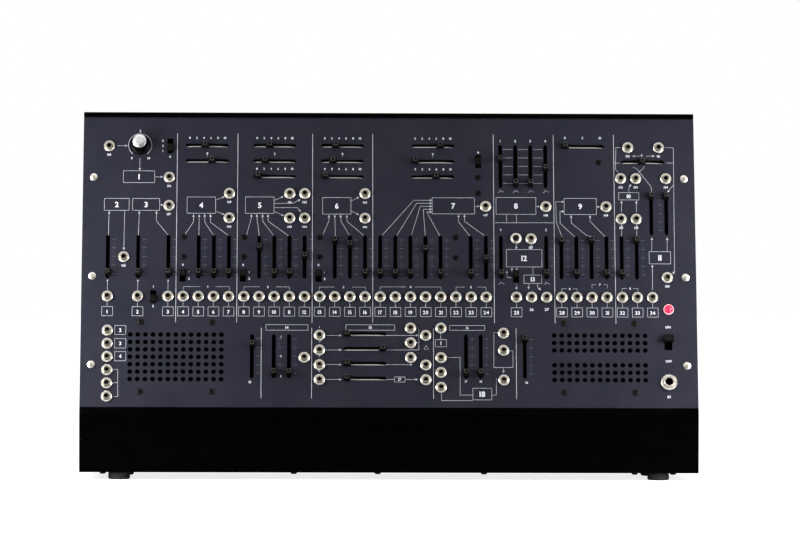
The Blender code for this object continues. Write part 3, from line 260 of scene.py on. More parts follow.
def material(name, colour, tint, roughness, spread=0.08, metallic=0.0, specular=0.5, grain=120.0,
             stretch=(1, 1, 1), bump=0.1, bump_grain=1800.0, glow=(1, 1, 1), glow_strength=0.0):
    """Procedural finish: colour varied towards a tint, roughness varied by its spread, and a fine bump."""
    made = bpy.data.materials.new(name)
    made.use_nodes = True
    tree = made.node_tree
    shader = tree.nodes["Principled BSDF"]
    shader.inputs["Metallic"].default_value = metallic
    shader.inputs["Specular IOR Level"].default_value = specular
    shader.inputs["Emission Color"].default_value = (*glow, 1)
    shader.inputs["Emission Strength"].default_value = glow_strength
    mapping = node(tree, "Mapping", scale=stretch)
    link(tree, node(tree, "TexCoord"), "Object", mapping, "Vector")
    cloud = node(tree, "TexNoise", scale=grain, detail=4.0, roughness=0.6)
    link(tree, mapping, "Vector", cloud, "Vector")
    ramp = node(tree, "ValToRGB")
    for end, place, shade in zip(ramp.color_ramp.elements, (NOISE_LOW, NOISE_HIGH), (colour, tint)):
        end.position = place
        end.color = (*shade, 1)
    link(tree, cloud, "Fac", ramp, "Fac")
    link(tree, ramp, "Color", shader, "Base Color")
    span = node(tree, "MapRange", from_min=NOISE_LOW, from_max=NOISE_HIGH,
                to_min=roughness - spread, to_max=roughness + spread)
    link(tree, cloud, "Fac", span, "Value")
    link(tree, span, "Result", shader, "Roughness")
    fine = node(tree, "TexNoise", scale=bump_grain, detail=3.0)
    link(tree, mapping, "Vector", fine, "Vector")
    relief = node(tree, "Bump", strength=bump, distance=0.05 * MM)
    link(tree, fine, "Fac", relief, "Height")
    link(tree, relief, "Normal", shader, "Normal")
    return made


def grey(value):
    """Colour without a hue."""
    return value, value, value


SLATE = material("slate_paint", (0.0080, 0.0086, 0.0162), (0.0101, 0.0104, 0.0190), 0.5, grain=30.0,
                 specular=0.16, bump=0.25, bump_grain=2600.0)
INK = material("ink", (0.30, 0.30, 0.34), (0.38, 0.38, 0.42), 0.6, grain=600.0)
BRIGHT_INK = material("bright_ink", (0.46, 0.46, 0.52), (0.56, 0.56, 0.62), 0.6, grain=600.0)
FAINT_INK = material("faint_ink", (0.10, 0.10, 0.12), (0.14, 0.14, 0.16), 0.6, grain=600.0)
# Case paint on the faces that look forward: a darker copy of the satin black below, with almost no sheen, as
# painted shade.
FRONT_SHADE_PAINT = material("black_paint", grey(0.0002), grey(0.0005), 0.30, spread=0.04, grain=60.0,
                       specular=0.012, bump=0.15, bump_grain=2200.0)
SATIN_BLACK = material("satin_black_paint", (0.010, 0.010, 0.0105), (0.015, 0.015, 0.0155), 0.42, grain=60.0,
                       specular=0.30, bump=0.2, bump_grain=2200.0)
NICKEL = material("nickel", (0.80, 0.76, 0.68), (0.87, 0.84, 0.77), 0.28, spread=0.05, metallic=1.0,
                  grain=700.0, bump=0.03)
# Darker copy of the nickel: painted shade, on the socket barrels sunk inside their nuts and in the cross
# recesses of the bright screws.
SHADED_NICKEL = material("barrel_nickel_painted_shade", (0.36, 0.33, 0.27), (0.46, 0.42, 0.35), 0.26, spread=0.05, metallic=1.0,
                  grain=700.0, bump=0.03)
CHROME = material("chrome", (0.83, 0.82, 0.80), (0.90, 0.89, 0.87), 0.16, spread=0.05, metallic=1.0,
                  grain=700.0)
BRUSHED = material("brushed_aluminium", grey(0.62), grey(0.88), 0.30, spread=0.10, metallic=1.0, grain=260.0,
                   stretch=(9, 0.7, 0.7), bump=0.35, bump_grain=900.0)
BARE_EDGE = material("bare_edge", (0.55, 0.53, 0.49), (0.70, 0.68, 0.63), 0.38, metallic=1.0, grain=800.0)
ZINC = material("zinc_steel", (0.42, 0.42, 0.39), (0.58, 0.57, 0.52), 0.38, metallic=1.0, grain=260.0)
BLACK_STEEL = material("black_steel", (0.0018, 0.0018, 0.0017), (0.0040, 0.0040, 0.0035), 0.42, specular=0.08,
                       grain=300.0)
RUSTY_STEEL = material("rusty_steel", (0.0030, 0.0022, 0.0017), (0.0062, 0.0045, 0.0034), 0.46, specular=0.10,
                       grain=700.0)
# Pale strip along one side of each level slot: painted light, for the light that falls into the slot.
SLOT_PAINTED_LIGHT = material("slot_strip", (0.26, 0.26, 0.24), (0.36, 0.355, 0.33), 0.50, metallic=0.5, grain=900.0)
PLASTIC = material("black_plastic", (0.0012, 0.0012, 0.0011), (0.0024, 0.0024, 0.0021), 0.40, grain=500.0,
                   specular=0.12)
# Black plastic of the knob, darker and with less sheen than the other black plastic: painted shade, for the
# shadow round the knob.
SHADED_KNOB_PLASTIC = material("knob_plastic", grey(0.0006), (0.0013, 0.0013, 0.0012), 0.36, grain=500.0,
                        specular=0.06)
# Pale rim round the top of each slider cap: painted highlight, for the light that falls on the caps' tops.
CAP_TOP_HIGHLIGHT = material("cap_top_painted_highlight", (0.030, 0.031, 0.025), (0.052, 0.052, 0.042), 0.42, grain=1500.0)
LEVER = material("switch_plastic", (0.0022, 0.0020, 0.0015), (0.0048, 0.0043, 0.0030), 0.45, grain=900.0,
                 specular=0.12)
# Near-black finish: the dark mouldings of switch housings, socket bodies and speaker surrounds, and painted
# shade in screw recesses, socket bores and the slider slots.
DARK_MOULDING_AND_SHADE = material("dark_moulding_and_painted_shade", grey(0.0006), grey(0.0012), 0.7, specular=0.04)
RUBBER = material("rubber", grey(0.010), (0.018, 0.018, 0.017), 0.78, specular=0.3, grain=500.0, bump=0.4)
BOARD = material("circuit_board", (0.010, 0.075, 0.030), (0.016, 0.110, 0.045), 0.42, grain=240.0)
# Black paper of the speaker cones, made darker still: painted shade behind the sound holes.
SHADED_PAPER = material("speaker_cone_painted_shade", grey(0.0003), grey(0.0007), 0.85, specular=0.02, grain=900.0)
WHITE_PLASTIC = material("pale_plastic", (0.55, 0.54, 0.50), (0.62, 0.61, 0.57), 0.45, grain=400.0)
LENS = material("red_lens", (0.75, 0.006, 0.03), (0.90, 0.012, 0.05), 0.18, grain=900.0,
                glow=(1.0, 0.010, 0.055), glow_strength=0.75)
LAMP_RIM = material("lamp_rim", (0.80, 0.42, 0.45), (0.88, 0.55, 0.56), 0.25, grain=900.0,
                    glow=(1.0, 0.30, 0.33), glow_strength=0.25)


class Shape:
    """Points and faces of one piece, gathered from simple forms."""

    def __init__(self):
        self.points, self.faces, self.finishes = [], [], []

    def add(self, points, faces, finish=0):
        """Add ready faces. finish is one number, or one for each face."""
        first = len(self.points)
        self.points += points
        self.faces += [tuple(first + index for index in face) for face in faces]
        self.finishes += finish if isinstance(finish, list) else [finish] * len(faces)

    def loft(self, place, loops, finish=0, ring=False, bands=None):
        """Solid through loops of equal length. bands gives each band between loops its finish."""
        count = len(loops[0])
        total = len(loops)
        faces, finishes = [], []
        for band in range(total if ring else total - 1):
            low, high = band * count, (band + 1) % total * count
            for index in range(count):
                following = (index + 1) % count
                faces.append((low + index, low + following, high + following, high + index))
                finishes.append(bands[band] if bands else finish)
        if not ring:
            faces += [tuple(range(count)), tuple(range((total - 1) * count, total * count))]
            finishes += [bands[0], bands[-1]] if bands else [finish, finish]
        self.add([place @ Vector(point) for loop in loops for point in loop], faces, finishes)

    def turn(self, place, profile, sides=SIDES, flat=None, start=0.0, **options):
        """Turned solid from (radius, height) pairs, or (radius, height, True) where the hexagon cuts it."""
        loops = []
        for radius, height, *cut in profile:
            loop = []
            for index in range(sides):
                angle = math.tau * index / sides
                reach = radius
                if cut:
                    side = (angle + math.pi / 6) % (math.pi / 3) - math.pi / 6
                    reach = min(radius, flat / math.cos(side))
                loop.append((reach * math.cos(angle + start), reach * math.sin(angle + start), height))
            loops.append(loop)
        self.loft(place, loops, **options)

    def block(self, place, profile, corner=0.0004, steps=2, **options):
        """Solid through rounded rectangles, from (half width, half length, height) triples."""
        self.loft(place, [rounded(x, y, min(corner, x, y), z, steps) for x, y, z in profile], **options)

    def box(self, place, low, high, **options):
        """Plain box between two corners."""
        middle = at((low[0] + high[0]) / 2, (low[1] + high[1]) / 2)
        sides = ((high[0] - low[0]) / 2, (high[1] - low[1]) / 2)
        self.loft(place @ middle, [rectangle(*sides, low[2]), rectangle(*sides, high[2])], **options)

    def copy(self, other, place):
        """Add another shape, moved."""
        first = len(self.points)
        self.points += [place @ point for point in other.points]
        self.faces += [tuple(first + index for index in face) for face in other.faces]
        self.finishes += other.finishes

    def mesh(self, name, materials):
        """Mesh with its normals outwards and its corners sharp."""
        made = bpy.data.meshes.new(name)
        made.from_pydata([tuple(point) for point in self.points], [], self.faces)
        made.polygons.foreach_set("material_index", self.finishes)
        shape = bmesh.new()
        shape.from_mesh(made)
        bmesh.ops.recalc_face_normals(shape, faces=shape.faces)
        shape.to_mesh(made)
        shape.free()
        for finish in materials:
            made.materials.append(finish)
        made.shade_smooth()
        made.set_sharp_from_angle(angle=EDGE_ANGLE)
        return made

    def make(self, name, materials, body="case", slot=None, replaces=()):
        """Object of this shape that rides on a body."""
        return place_piece(name, self.mesh(name, materials), body, replaces)


def shown(name, data):
    """Object with some data, put into the scene."""
    made = bpy.data.objects.new(name, data)
    bpy.context.scene.collection.objects.link(made)
    return made


def settled(*helpers):
    """Mesh that the first of some helper objects gives. The helpers are removed."""
    graph = bpy.context.evaluated_depsgraph_get()
    made = bpy.data.meshes.new_from_object(helpers[0].evaluated_get(graph))
    for helper in helpers:
        bpy.data.objects.remove(helper, do_unlink=True)
    return made


def place_piece(name, mesh, body="case", replaces=(), place=None):
    """Object with a mesh, riding on a body of the frame."""
    made = shown(name, mesh)
    if place is not None:
        made.matrix_world = place
    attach(made, body)
    if replaces:
        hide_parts(*replaces)
    return made


def rectangle(half_x, half_y, height):
    """Corners of a rectangle."""
    return [(x * half_x, y * half_y, height) for x, y in ((-1, -1), (1, -1), (1, 1), (-1, 1))]


def rounded(half_x, half_y, radius, height, steps=2):
    """Points of a rectangle with round corners."""
    points = []
    for quarter, (side_x, side_y) in enumerate(((1, 1), (-1, 1), (-1, -1), (1, -1))):
        for step in range(steps + 1):
            angle = math.radians(90) * (quarter + step / steps)
            x = side_x * (half_x - radius) + radius * math.cos(angle)
            y = side_y * (half_y - radius) + radius * math.sin(angle)
            points.append((x, y, height))
    return points


def circle(radius, height=0.0, sides=20):
    """Points of a circle."""
    angles = [math.tau * index / sides for index in range(sides)]
    return [(radius * math.cos(angle), radius * math.sin(angle), height) for angle in angles]


def cut(base, cutter, materials):
    """Shape left when a cutter is taken out of a base, as a new mesh."""
    holder = shown("cut_base", base.mesh("cut_base", materials))
    tool = shown("cut_tool", cutter.mesh("cut_tool", materials))
    modifier = holder.modifiers.new("cut", "BOOLEAN")
    modifier.operation = "DIFFERENCE"
    modifier.solver = "EXACT"
    modifier.object = tool
    made = settled(holder, tool)
    made.set_sharp_from_angle(angle=EDGE_ANGLE)
    return made


def shape_of(mesh):
    """Shape with a mesh's points and faces, to be copied about."""
    made = Shape()
    faces = [tuple(face.vertices) for face in mesh.polygons]
    finishes = [face.material_index for face in mesh.polygons]
    made.add([point.co.copy() for point in mesh.vertices], faces, finishes)
    return made


# Case

def rounded_path(path, radius, steps=5):
    """Points of a folded path with round bends, each with its direction to the right."""
    found = []
    last = len(path) - 1
    for index, point in enumerate(path):
        before = (point - path[index - 1]).normalized() if index else (path[1] - point).normalized()
        after = (path[index + 1] - point).normalized() if index < last else before
        turn = math.atan2(before.x * after.y - before.y * after.x, before.dot(after))
        if abs(turn) < 1e-6:
            found.append((point, Vector((before.y, -before.x))))
            continue
        reach = radius * math.tan(abs(turn) / 2)
        start = point - before * reach
        inward = Vector((before.y, -before.x)) * (1 if turn < 0 else -1)
        centre = start + inward * radius
        for step in range(steps + 1):
            angle = turn * step / steps
            spoke = -inward
            spoke = Vector((spoke.x * math.cos(angle) - spoke.y * math.sin(angle),
                            spoke.x * math.sin(angle) + spoke.y * math.cos(angle)))
            found.append((centre + spoke * radius, -spoke if turn < 0 else spoke))
    return found


def folded_sheet(path, radius=0.0024, bevel=0.0002):
    """Sheet folded along a path and as wide as the case, with round bends."""
    outer = rounded_path(path, radius)
    flat = HALF_WIDTH - bevel
    loops = []
    for x, inset in ((-HALF_WIDTH, bevel), (-flat, 0), (flat, 0), (HALF_WIDTH, bevel)):
        loop = [point + right * inset for point, right in outer]
        loop += [point + right * (SHEET - inset) for point, right in reversed(outer)]
        loops.append([(x, point.x, point.y) for point in loop])
    made = Shape()
    made.loft(HERE, loops)
    return made


def satin_sides(mesh):
    """Mesh whose faces that look sideways, back, up and down get the satin paint; the faces that look forward
    keep a darker copy of it with almost no sheen, as painted shade.
    """
    mesh.materials.append(SATIN_BLACK)
    for face in mesh.polygons:
        if face.normal.y > 0.5 or abs(face.normal.x) > 0.5 or abs(face.normal.z) > 0.97:
            face.material_index = 1
    return mesh


def rear_place(share, height):
    """Placement on the outside of the back wall, with Z pointing backwards."""
    return at(share * HALF_WIDTH, BACK_Y, height) @ Matrix.Rotation(math.radians(-90), 4, "X")


REAR_BOARD_TOP = 0.027
SOLDER = 0.0008
PHONE_BODY, REAR_BUSHING, DIN_RADIUS, INLET_RADIUS = 0.007, 0.0055, 0.0085, 0.0055
USB_SHELL = 0.0006
USB_B_SIZE = (0.0042, 0.0039)
USB_A_SIZE = (0.00635, 0.00265)
OUTPUTS = [rear_place(share, REAR_BOARD_TOP + PHONE_BODY - SOLDER) for share in (0.36, 0.46)]
DIN = rear_place(0.57, REAR_BOARD_TOP + DIN_RADIUS - SOLDER)
INLET = rear_place(0.86, REAR_BOARD_TOP + INLET_RADIUS - SOLDER)
USB_B = rear_place(0.67, REAR_BOARD_TOP + USB_B_SIZE[1] + USB_SHELL - SOLDER)
USB_A = rear_place(0.76, REAR_BOARD_TOP + USB_A_SIZE[1] + USB_SHELL - SOLDER)


def case_sheets():
    """Base pan and rear cover."""
    pan = (
        Vector((BACK_Y - SHEET - GAP, FOOT_HEIGHT)), Vector((FRONT_Y, FOOT_HEIGHT)),
        Vector((FRONT_Y, BEND_HEIGHT)), slope_point(PANEL_FOOT_HEIGHT),
    )
    mesh = satin_sides(folded_sheet(pan).mesh("base_pan_sheet", [FRONT_SHADE_PAINT]))
    place_piece("base_pan_sheet", mesh, replaces=["base_pan"])
    top = slope_point(OVERALL_HEIGHT)
    lip = top - TOP_LIP * Vector((math.sin(LEAN), math.cos(LEAN)))
    cover = (lip, top, Vector((BACK_Y, OVERALL_HEIGHT)), Vector((BACK_Y, FOOT_HEIGHT)))
    inner, outer = -2 * SHEET, 0.001
    holes = Shape()
    rounds = [(place, REAR_BUSHING) for place in OUTPUTS] + [(DIN, DIN_RADIUS), (INLET, INLET_RADIUS)]
    for place, radius in rounds:
        holes.turn(place, ((radius + GAP, inner), (radius + GAP, outer)), sides=40)
    for place, size in ((USB_B, USB_B_SIZE), (USB_A, USB_A_SIZE)):
        sides = [side + USB_SHELL + GAP for side in size]
        holes.block(place, ((*sides, inner), (*sides, outer)))
    mesh = cut(folded_sheet(cover), holes, [FRONT_SHADE_PAINT])
    place_piece("rear_cover_sheet", satin_sides(mesh), replaces=["rear_cover"])


def shifted(start, end, distance):
    """Line moved to its right, as a point and a direction."""
    direction = (end - start).normalized()
    return start + distance * Vector((direction.y, -direction.x)), direction


def crossing(first, second):
    """Point where two lines cross."""
    (start, along), (other, other_along) = first, second
    turn = along.x * other_along.y - along.y * other_along.x
    apart = other - start
    return start + along * ((apart.x * other_along.y - apart.y * other_along.x) / turn)


def end_cheeks():
    """Two end panels with the flanges that hold the front panel."""
    corners = (
        Vector((FRONT_Y, FOOT_HEIGHT)), Vector((FRONT_Y, BEND_HEIGHT)), slope_point(OVERALL_HEIGHT),
        Vector((BACK_Y, OVERALL_HEIGHT)), Vector((BACK_Y, FOOT_HEIGHT)),
    )
    shell = SHEET + GAP
    insets = (shell, PANEL_RECESS - BEHIND, shell, shell, shell)
    bevel = 0.0003
    for name, side in (("left", -1), ("right", 1)):
        loops = []
        for depth, more in ((END_THICKNESS, bevel), (END_THICKNESS - bevel, 0), (bevel, 0), (0, bevel)):
            lines = [shifted(corners[i], corners[(i + 1) % 5], insets[i] + more) for i in range(5)]
            outline = [crossing(lines[i - 1], lines[i]) for i in range(5)]
            loops.append([(side * (HALF_WIDTH - depth), point.x, point.y) for point in outline])
        cheek = Shape()
        cheek.loft(HERE, loops)
        inner, outer = sorted((side * (HALF_WIDTH - END_FLANGE), side * (HALF_WIDTH - END_THICKNESS / 2)))
        low = (inner, FLANGE_MARGIN, BEHIND - END_THICKNESS)
        cheek.box(PANEL, low, (outer, PANEL_LENGTH - FLANGE_MARGIN, BEHIND))
        mesh = satin_sides(cheek.mesh(name + "_cheek", [FRONT_SHADE_PAINT]))
        place_piece(name + "_cheek", mesh, replaces=[name + "_end_panel"])


def cross_points(reach, half, height):
    """Outline of a cross."""
    points = []
    for quarter in range(4):
        c, s = math.cos(quarter * math.pi / 2), math.sin(quarter * math.pi / 2)
        for x, y in ((reach, -half), (reach, half), (half, half)):
            points.append((x * c - y * s, x * s + y * c, height))
    return points


def screw(radius, height, reach=0.55, half=0.11, depth=0.7, recess=1):
    """Round-headed screw with a cross recess. The recess is given as shares of the radius and the height."""
    rim = height * 0.35
    profile = [(radius * 0.97, -0.0006), (radius, 0.0), (radius, rim * 0.6)]
    for degrees in (25, 50, 72, 90):
        angle = math.radians(degrees)
        profile.append((radius * (0.18 + 0.82 * math.cos(angle)), rim + (height - rim) * math.sin(angle)))
    base, cutter = Shape(), Shape()
    base.turn(HERE, profile)
    low = cross_points(radius * reach * 0.6, radius * half * 0.8, height * (1 - depth))
    # The cross recess takes its own, darker finish: painted shade.
    cutter.loft(HERE, [low, cross_points(radius * reach, radius * half, height * 1.2)], finish=recess)
    return shape_of(cut(base, cutter, [NICKEL, DARK_MOULDING_AND_SHADE, SHADED_NICKEL]))


def screws():
    """Screw heads on the panel, each turned at random, and under the floor and on the back wall."""
    bright = screw(0.0034, 0.0013, reach=0.42, half=0.10, depth=0.5, recess=2)
    black = screw(0.0027, 0.0015)
    dark = screw(0.0026, 0.0010, reach=0.6, half=0.14)
    panel = [place @ at(0, 0, GAP) for place in panel_screw_places()]
    reach = 0.03
    corners = [at(x, y) for x in (-reach, reach) for y in (-reach, reach)]
    speaker = [spot(column, SPEAKER) @ corner for column in SPEAKER_COLUMNS for corner in corners]
    others = [spot(column, share) for column, share in DARK_SCREWS]
    under = Matrix.Rotation(math.pi, 4, "X")
    low_y = FRONT_Y + FLOOR_SCREW_INSET
    floor = [at(share * HALF_WIDTH, low_y, FOOT_HEIGHT) @ under for share in BOTTOM_SCREW_SHARES]
    cover = [rear_place(share, height * OVERALL_HEIGHT) for share, height in REAR_SCREW_SHARES]
    for name, head, places, random_turn, finishes, slot in (
        ("panel_screws", bright, panel, True, [NICKEL, DARK_MOULDING_AND_SHADE, SHADED_NICKEL], "nickel"),
        ("speaker_screws", black, speaker, True, [RUSTY_STEEL, DARK_MOULDING_AND_SHADE], "black_steel"),
        ("dark_screws", dark, others, True, [BLACK_STEEL, DARK_MOULDING_AND_SHADE], "black_steel"),
        ("floor_screws", black, floor, False, [BLACK_STEEL, DARK_MOULDING_AND_SHADE], "black_steel"),
        ("cover_screws", black, cover, False, [BLACK_STEEL, DARK_MOULDING_AND_SHADE], "black_steel"),
    ):
        group = Shape()
        for place in places:
            turn = Matrix.Rotation(random.uniform(0, 6), 4, "Z") if random_turn else HERE
            group.copy(head, place @ turn)
        group.make(name, finishes, slot=slot)


def feet():
    """Four round feet with the screw that holds each."""
    profile = (
        (0.0074, 0.0), (0.0084, 0.0002), (0.0091, 0.0010), (0.00925, 0.0020), (0.0090, 0.0057),
        (0.0088, 0.0059), (0.0020, 0.0059), (0.0020, 0.0030), (0.0042, 0.0028), (0.0042, 0.0002),
        (0.0052, 0.0),
    )
    screw_profile = ((0.0034, 0.0010), (0.0034, 0.0026), (0.0018, 0.0029), (0.0018, 0.0059))
    for row, y in (("front", FRONT_Y + FRONT_FOOT_INSET), ("rear", BACK_Y - REAR_FOOT_INSET)):
        for side, x in (("left", -1), ("right", 1)):
            place = at(x * (HALF_WIDTH - FOOT_INSET), y)
            name = f"{row}_{side}"
            foot = Shape()
            foot.turn(place, profile, sides=40, ring=True)
            foot.turn(place, screw_profile, finish=1)
            foot.make(name + "_rubber_foot", [RUBBER, BLACK_STEEL], slot="rubber", replaces=[name + "_foot"])


# Front panel

SOCKET_HOLE, SOUND_HOLE, SCREW_HOLE = 0.0033, 0.0021, 0.0019
KNOB_HOLE, LAMP_HOLE, PHONES_HOLE = 0.0035, 0.0034, 0.0049
SLOT_HALF, SLOT_EASE = 0.0017, 0.0001


def slot_points(half_width, half_length, steps=6):
    """Points of a slot with round ends."""
    points = []
    for side in (1, -1):
        for step in range(steps + 1):
            angle = math.pi * step / steps
            reach = half_length - half_width + half_width * math.sin(angle)
            points.append((side * half_width * math.cos(angle), side * reach, 0))
    return points


def sound_hole_places():
    """Grid of holes before each speaker. The right grid has no middle row."""
    for number, column in enumerate(SPEAKER_COLUMNS):
        for i in range(-6, 7):
            for j in range(-3, 4):
                if number == 0 or j:
                    yield spot(column, SPEAKER) @ at(i * PITCH / 2, j * PITCH / 2)


def front_panel():
    """Flat panel with round-ended slots, socket holes and sound holes."""
    curve = bpy.data.curves.new("panel_outline", "CURVE")
    curve.dimensions = "2D"
    curve.fill_mode = "BOTH"
    curve.extrude = PANEL_THICKNESS / 2
    to_panel = PANEL.inverted()

    def outline(place, points):
        spline = curve.splines.new("POLY")
        spline.points.add(len(points) - 1)
        for target, point in zip(spline.points, points):
            moved = to_panel @ place @ Vector(point)
            target.co = (moved.x, moved.y, 0, 1)
        spline.use_cyclic_u = True

    outline(PANEL @ at(0, PANEL_LENGTH / 2), rounded(HALF_WIDTH, PANEL_LENGTH / 2 - GAP, 0.0006, 0))
    for place in socket_spots() + [spot(START_COLUMN, GATE)]:
        outline(place, circle(SOCKET_HOLE))
    for place in all_slots():
        length = LEVEL_SLOT_LENGTH if is_level(place) else SLOT_LENGTH
        outline(place, slot_points(SLOT_HALF, length / 2 + SLOT_EASE))
    for name, column, share, _ in SWITCHES:
        outline(spot(column, share), rounded(SWITCH_HALF, switch_slot(name), 0.0003, 0))
    outline(spot(EDGE, POWER), rounded(*POWER_SIZE, 0.0004, 0))
    for place in sound_hole_places():
        outline(place, circle(SOUND_HOLE))
    for place in panel_screw_places():
        outline(place, circle(SCREW_HOLE, sides=16))
    outline(spot(KNOB_COLUMN, TUNE), circle(KNOB_HOLE))
    outline(spot(LAMP_COLUMN, LAMP), circle(LAMP_HOLE))
    outline(spot(EDGE, PHONES), circle(PHONES_HOLE))
    mesh = settled(shown("panel_outline", curve))
    shape = bmesh.new()
    shape.from_mesh(mesh)
    bmesh.ops.remove_doubles(shape, verts=shape.verts, dist=1e-6)
    bmesh.ops.recalc_face_normals(shape, faces=shape.faces)
    for face in shape.faces:
        middle = face.calc_center_median()
        inside = abs(middle.x) < HALF_WIDTH - MM and MM < middle.y < PANEL_LENGTH - MM
        face.material_index = 1 if abs(face.normal.z) < 0.5 and inside else 0
    bmesh.ops.transform(shape, matrix=PANEL @ at(0, 0, -PANEL_THICKNESS / 2), verts=shape.verts)
    shape.to_mesh(mesh)
    shape.free()
    mesh.materials.clear()
    mesh.materials.append(SLATE)
    mesh.materials.append(BARE_EDGE)
    place_piece("panel_plate", mesh, replaces=["front_panel"])


# Print: lines, boxes and plain numbers, in millimetres of u and v

INK_LOW, INK_TOP = -0.00003, 0.00006
BOX_LOW, BOX_TOP, BOX_LEFT, BOX_RIGHT = 79.1, 87.0, 4.45, 4.65
LINE, FINE_LINE, HAIR_LINE, HEAVY_LINE = 0.30, 0.22, 0.045, 0.44
DIVIDERS = (
    ((4.52, 8.54, 13.51, 17.51, 25.54, 29.54, 33.56), 73.8, 239.0), ((10.17, 13.49, 21.51, 26.96), 8.2, 68.7),
)
TITLE_BOXES = (
    (-226.2, 195.6, -199.6, 206.0), (-242.0, 171.1, -221.0, 181.6), (-218.1, 171.2, -195.1, 181.6),
    (-171.8, 168.8, -147.6, 183.1), (-122.2, 168.8, -97.9, 183.3), (-56.6, 168.4, -32.5, 183.0),
    (36.6, 168.9, 72.6, 183.1), (91.0, 168.7, 124.9, 183.5), (149.0, 168.7, 176.4, 182.9),
    (195.6, 181.7, 212.8, 188.1), (220.8, 125.6, 239.0, 136.3), (99.5, 122.6, 129.6, 137.8),
    (114.2, 108.2, 129.3, 115.5), (-104.2, 66.9, -68.7, 71.7), (-36.7, 67.1, 4.6, 71.8),
    (51.0, 67.2, 80.7, 71.4), (4.4, 22.3, 13.2, 26.7), (70.3, 7.1, 86.3, 17.1),
)
SMALL_BOXES = (
    (38.9, 52.9, 48.3, 59.1), (-231.7, 62.9, -222.4, 70.6), (-231.7, 51.1, -222.2, 59.3),
    (-231.5, 40.1, -222.1, 48.1),
)
# Flow lines with an arrow at their first point, at their last point, and without one
ARROW_FIRST = (
    ((-237.9, 170.3), (-238.2, 149.3)), ((-212.2, 170.4), (-212.9, 149.4)),
    ((-197.7, 170.5), (-197.6, 162.0), (-187.8, 149.7)), ((-166.2, 167.8), (-166.3, 161.2), (-173.3, 150.1)),
    ((-161.4, 167.8), (-161.5, 149.4)), ((-156.8, 167.9), (-156.5, 160.7), (-149.1, 149.6)),
    ((-151.9, 167.9), (-151.7, 160.8), (-136.7, 149.5)), ((-117.0, 168.0), (-117.2, 164.5), (-120.9, 150.4)),
    ((-112.5, 168.0), (-112.3, 164.5), (-110.3, 149.0)), ((-107.6, 168.0), (-107.4, 161.9), (-98.1, 149.4)),
    ((-103.1, 168.0), (-102.7, 161.9), (-85.6, 149.3)), ((-51.2, 167.7), (-51.2, 162.5), (-56.1, 150.8)),
    ((-46.3, 167.7), (-45.7, 149.2)), ((-41.3, 167.7), (-40.9, 162.1), (-33.8, 150.0)),
    ((-36.0, 167.7), (-35.8, 162.1), (-22.0, 150.0)), ((36.5, 180.8), (21.0, 180.8), (-5.7, 150.2)),
    ((36.5, 178.2), (23.3, 178.1), (6.9, 150.3)), ((36.5, 175.5), (26.4, 175.5), (19.0, 150.3)),
    ((36.4, 172.9), (29.0, 172.9), (30.6, 149.6)), ((36.4, 170.5), (32.0, 170.5), (42.9, 149.7)),
    ((59.0, 168.2), (59.0, 162.0), (68.3, 149.8)), ((64.1, 168.2), (64.1, 162.4), (81.0, 149.9)),
    ((149.0, 179.9), (141.9, 179.8), (142.3, 161.3), (147.0, 149.0)),
    ((148.9, 171.3), (145.4, 171.3), (145.4, 160.9), (157.7, 149.0)),
    ((154.8, 168.0), (154.9, 161.2), (168.1, 150.2), (171.5, 149.6)),
    ((170.9, 168.0), (171.0, 162.7), (183.4, 149.4)), ((197.9, 180.9), (197.8, 171.3)),
    ((210.7, 180.9), (210.6, 171.3)), ((223.4, 124.8), (223.2, 103.0)), ((104.1, 121.8), (104.1, 117.9)),
    ((108.3, 121.8), (108.3, 118.9)), ((99.9, 119.4), (99.9, 113.2), (103.9, 113.2)),
)
ARROW_LAST = (
    ((-231.8, 228.1), (-223.2, 228.1)), ((-212.4, 216.8), (-212.3, 206.4)),
    ((-199.2, 200.7), (-192.5, 200.7)), ((-224.7, 170.4), (-225.0, 136.5)),
    ((-195.0, 176.0), (-191.9, 176.0)), ((-147.5, 180.3), (-140.0, 183.6)),
    ((-147.4, 170.6), (-140.0, 167.6)), ((-97.9, 180.1), (-89.8, 183.8)),
    ((-97.9, 177.7), (-81.9, 177.8), (-75.6, 181.1)), ((-97.9, 173.9), (-77.9, 174.0), (-75.3, 170.2)),
    ((-97.9, 170.6), (-89.5, 166.9)), ((-32.5, 179.9), (-25.5, 183.5)), ((-32.4, 171.3), (-25.6, 167.8)),
    ((72.7, 175.6), (77.1, 175.7)), ((124.9, 175.6), (128.5, 175.6)), ((108.0, 142.7), (107.9, 137.9)),
    ((120.6, 138.0), (120.6, 141.8)), ((118.2, 107.4), (118.1, 103.1)),
    ((125.6, 107.5), (125.6, 105.5), (128.3, 102.4)), ((107.8, 107.0), (107.8, 102.6)),
    ((176.5, 175.5), (179.6, 175.6)), ((204.3, 188.3), (204.3, 192.0), (206.3, 195.6)),
    ((197.7, 150.0), (197.8, 159.7)), ((210.6, 150.0), (210.6, 159.7)), ((223.1, 136.5), (223.3, 148.7)),
    ((236.2, 136.6), (236.4, 148.7)), ((214.8, 220.4), (207.7, 220.4)), ((219.7, 220.4), (226.9, 220.5)),
    ((-53.6, 62.5), (-40.4, 62.5)), ((-53.7, 49.9), (-40.3, 49.9)), ((-53.7, 37.2), (-40.3, 37.2)),
    ((-53.6, 24.4), (-40.3, 24.4)), ((13.3, 24.5), (24.1, 24.6)), ((-2.8, 62.6), (24.7, 62.7)),
    ((-2.9, 37.3), (18.2, 37.3), (18.2, 38.9)), ((96.3, 35.1), (96.3, 30.4)),
    ((242.1, 194.5), (237.2, 188.5)), ((242.9, 228.0), (242.7, 190.3), (242.2, 118.7), (240.4, 116.9)),
)
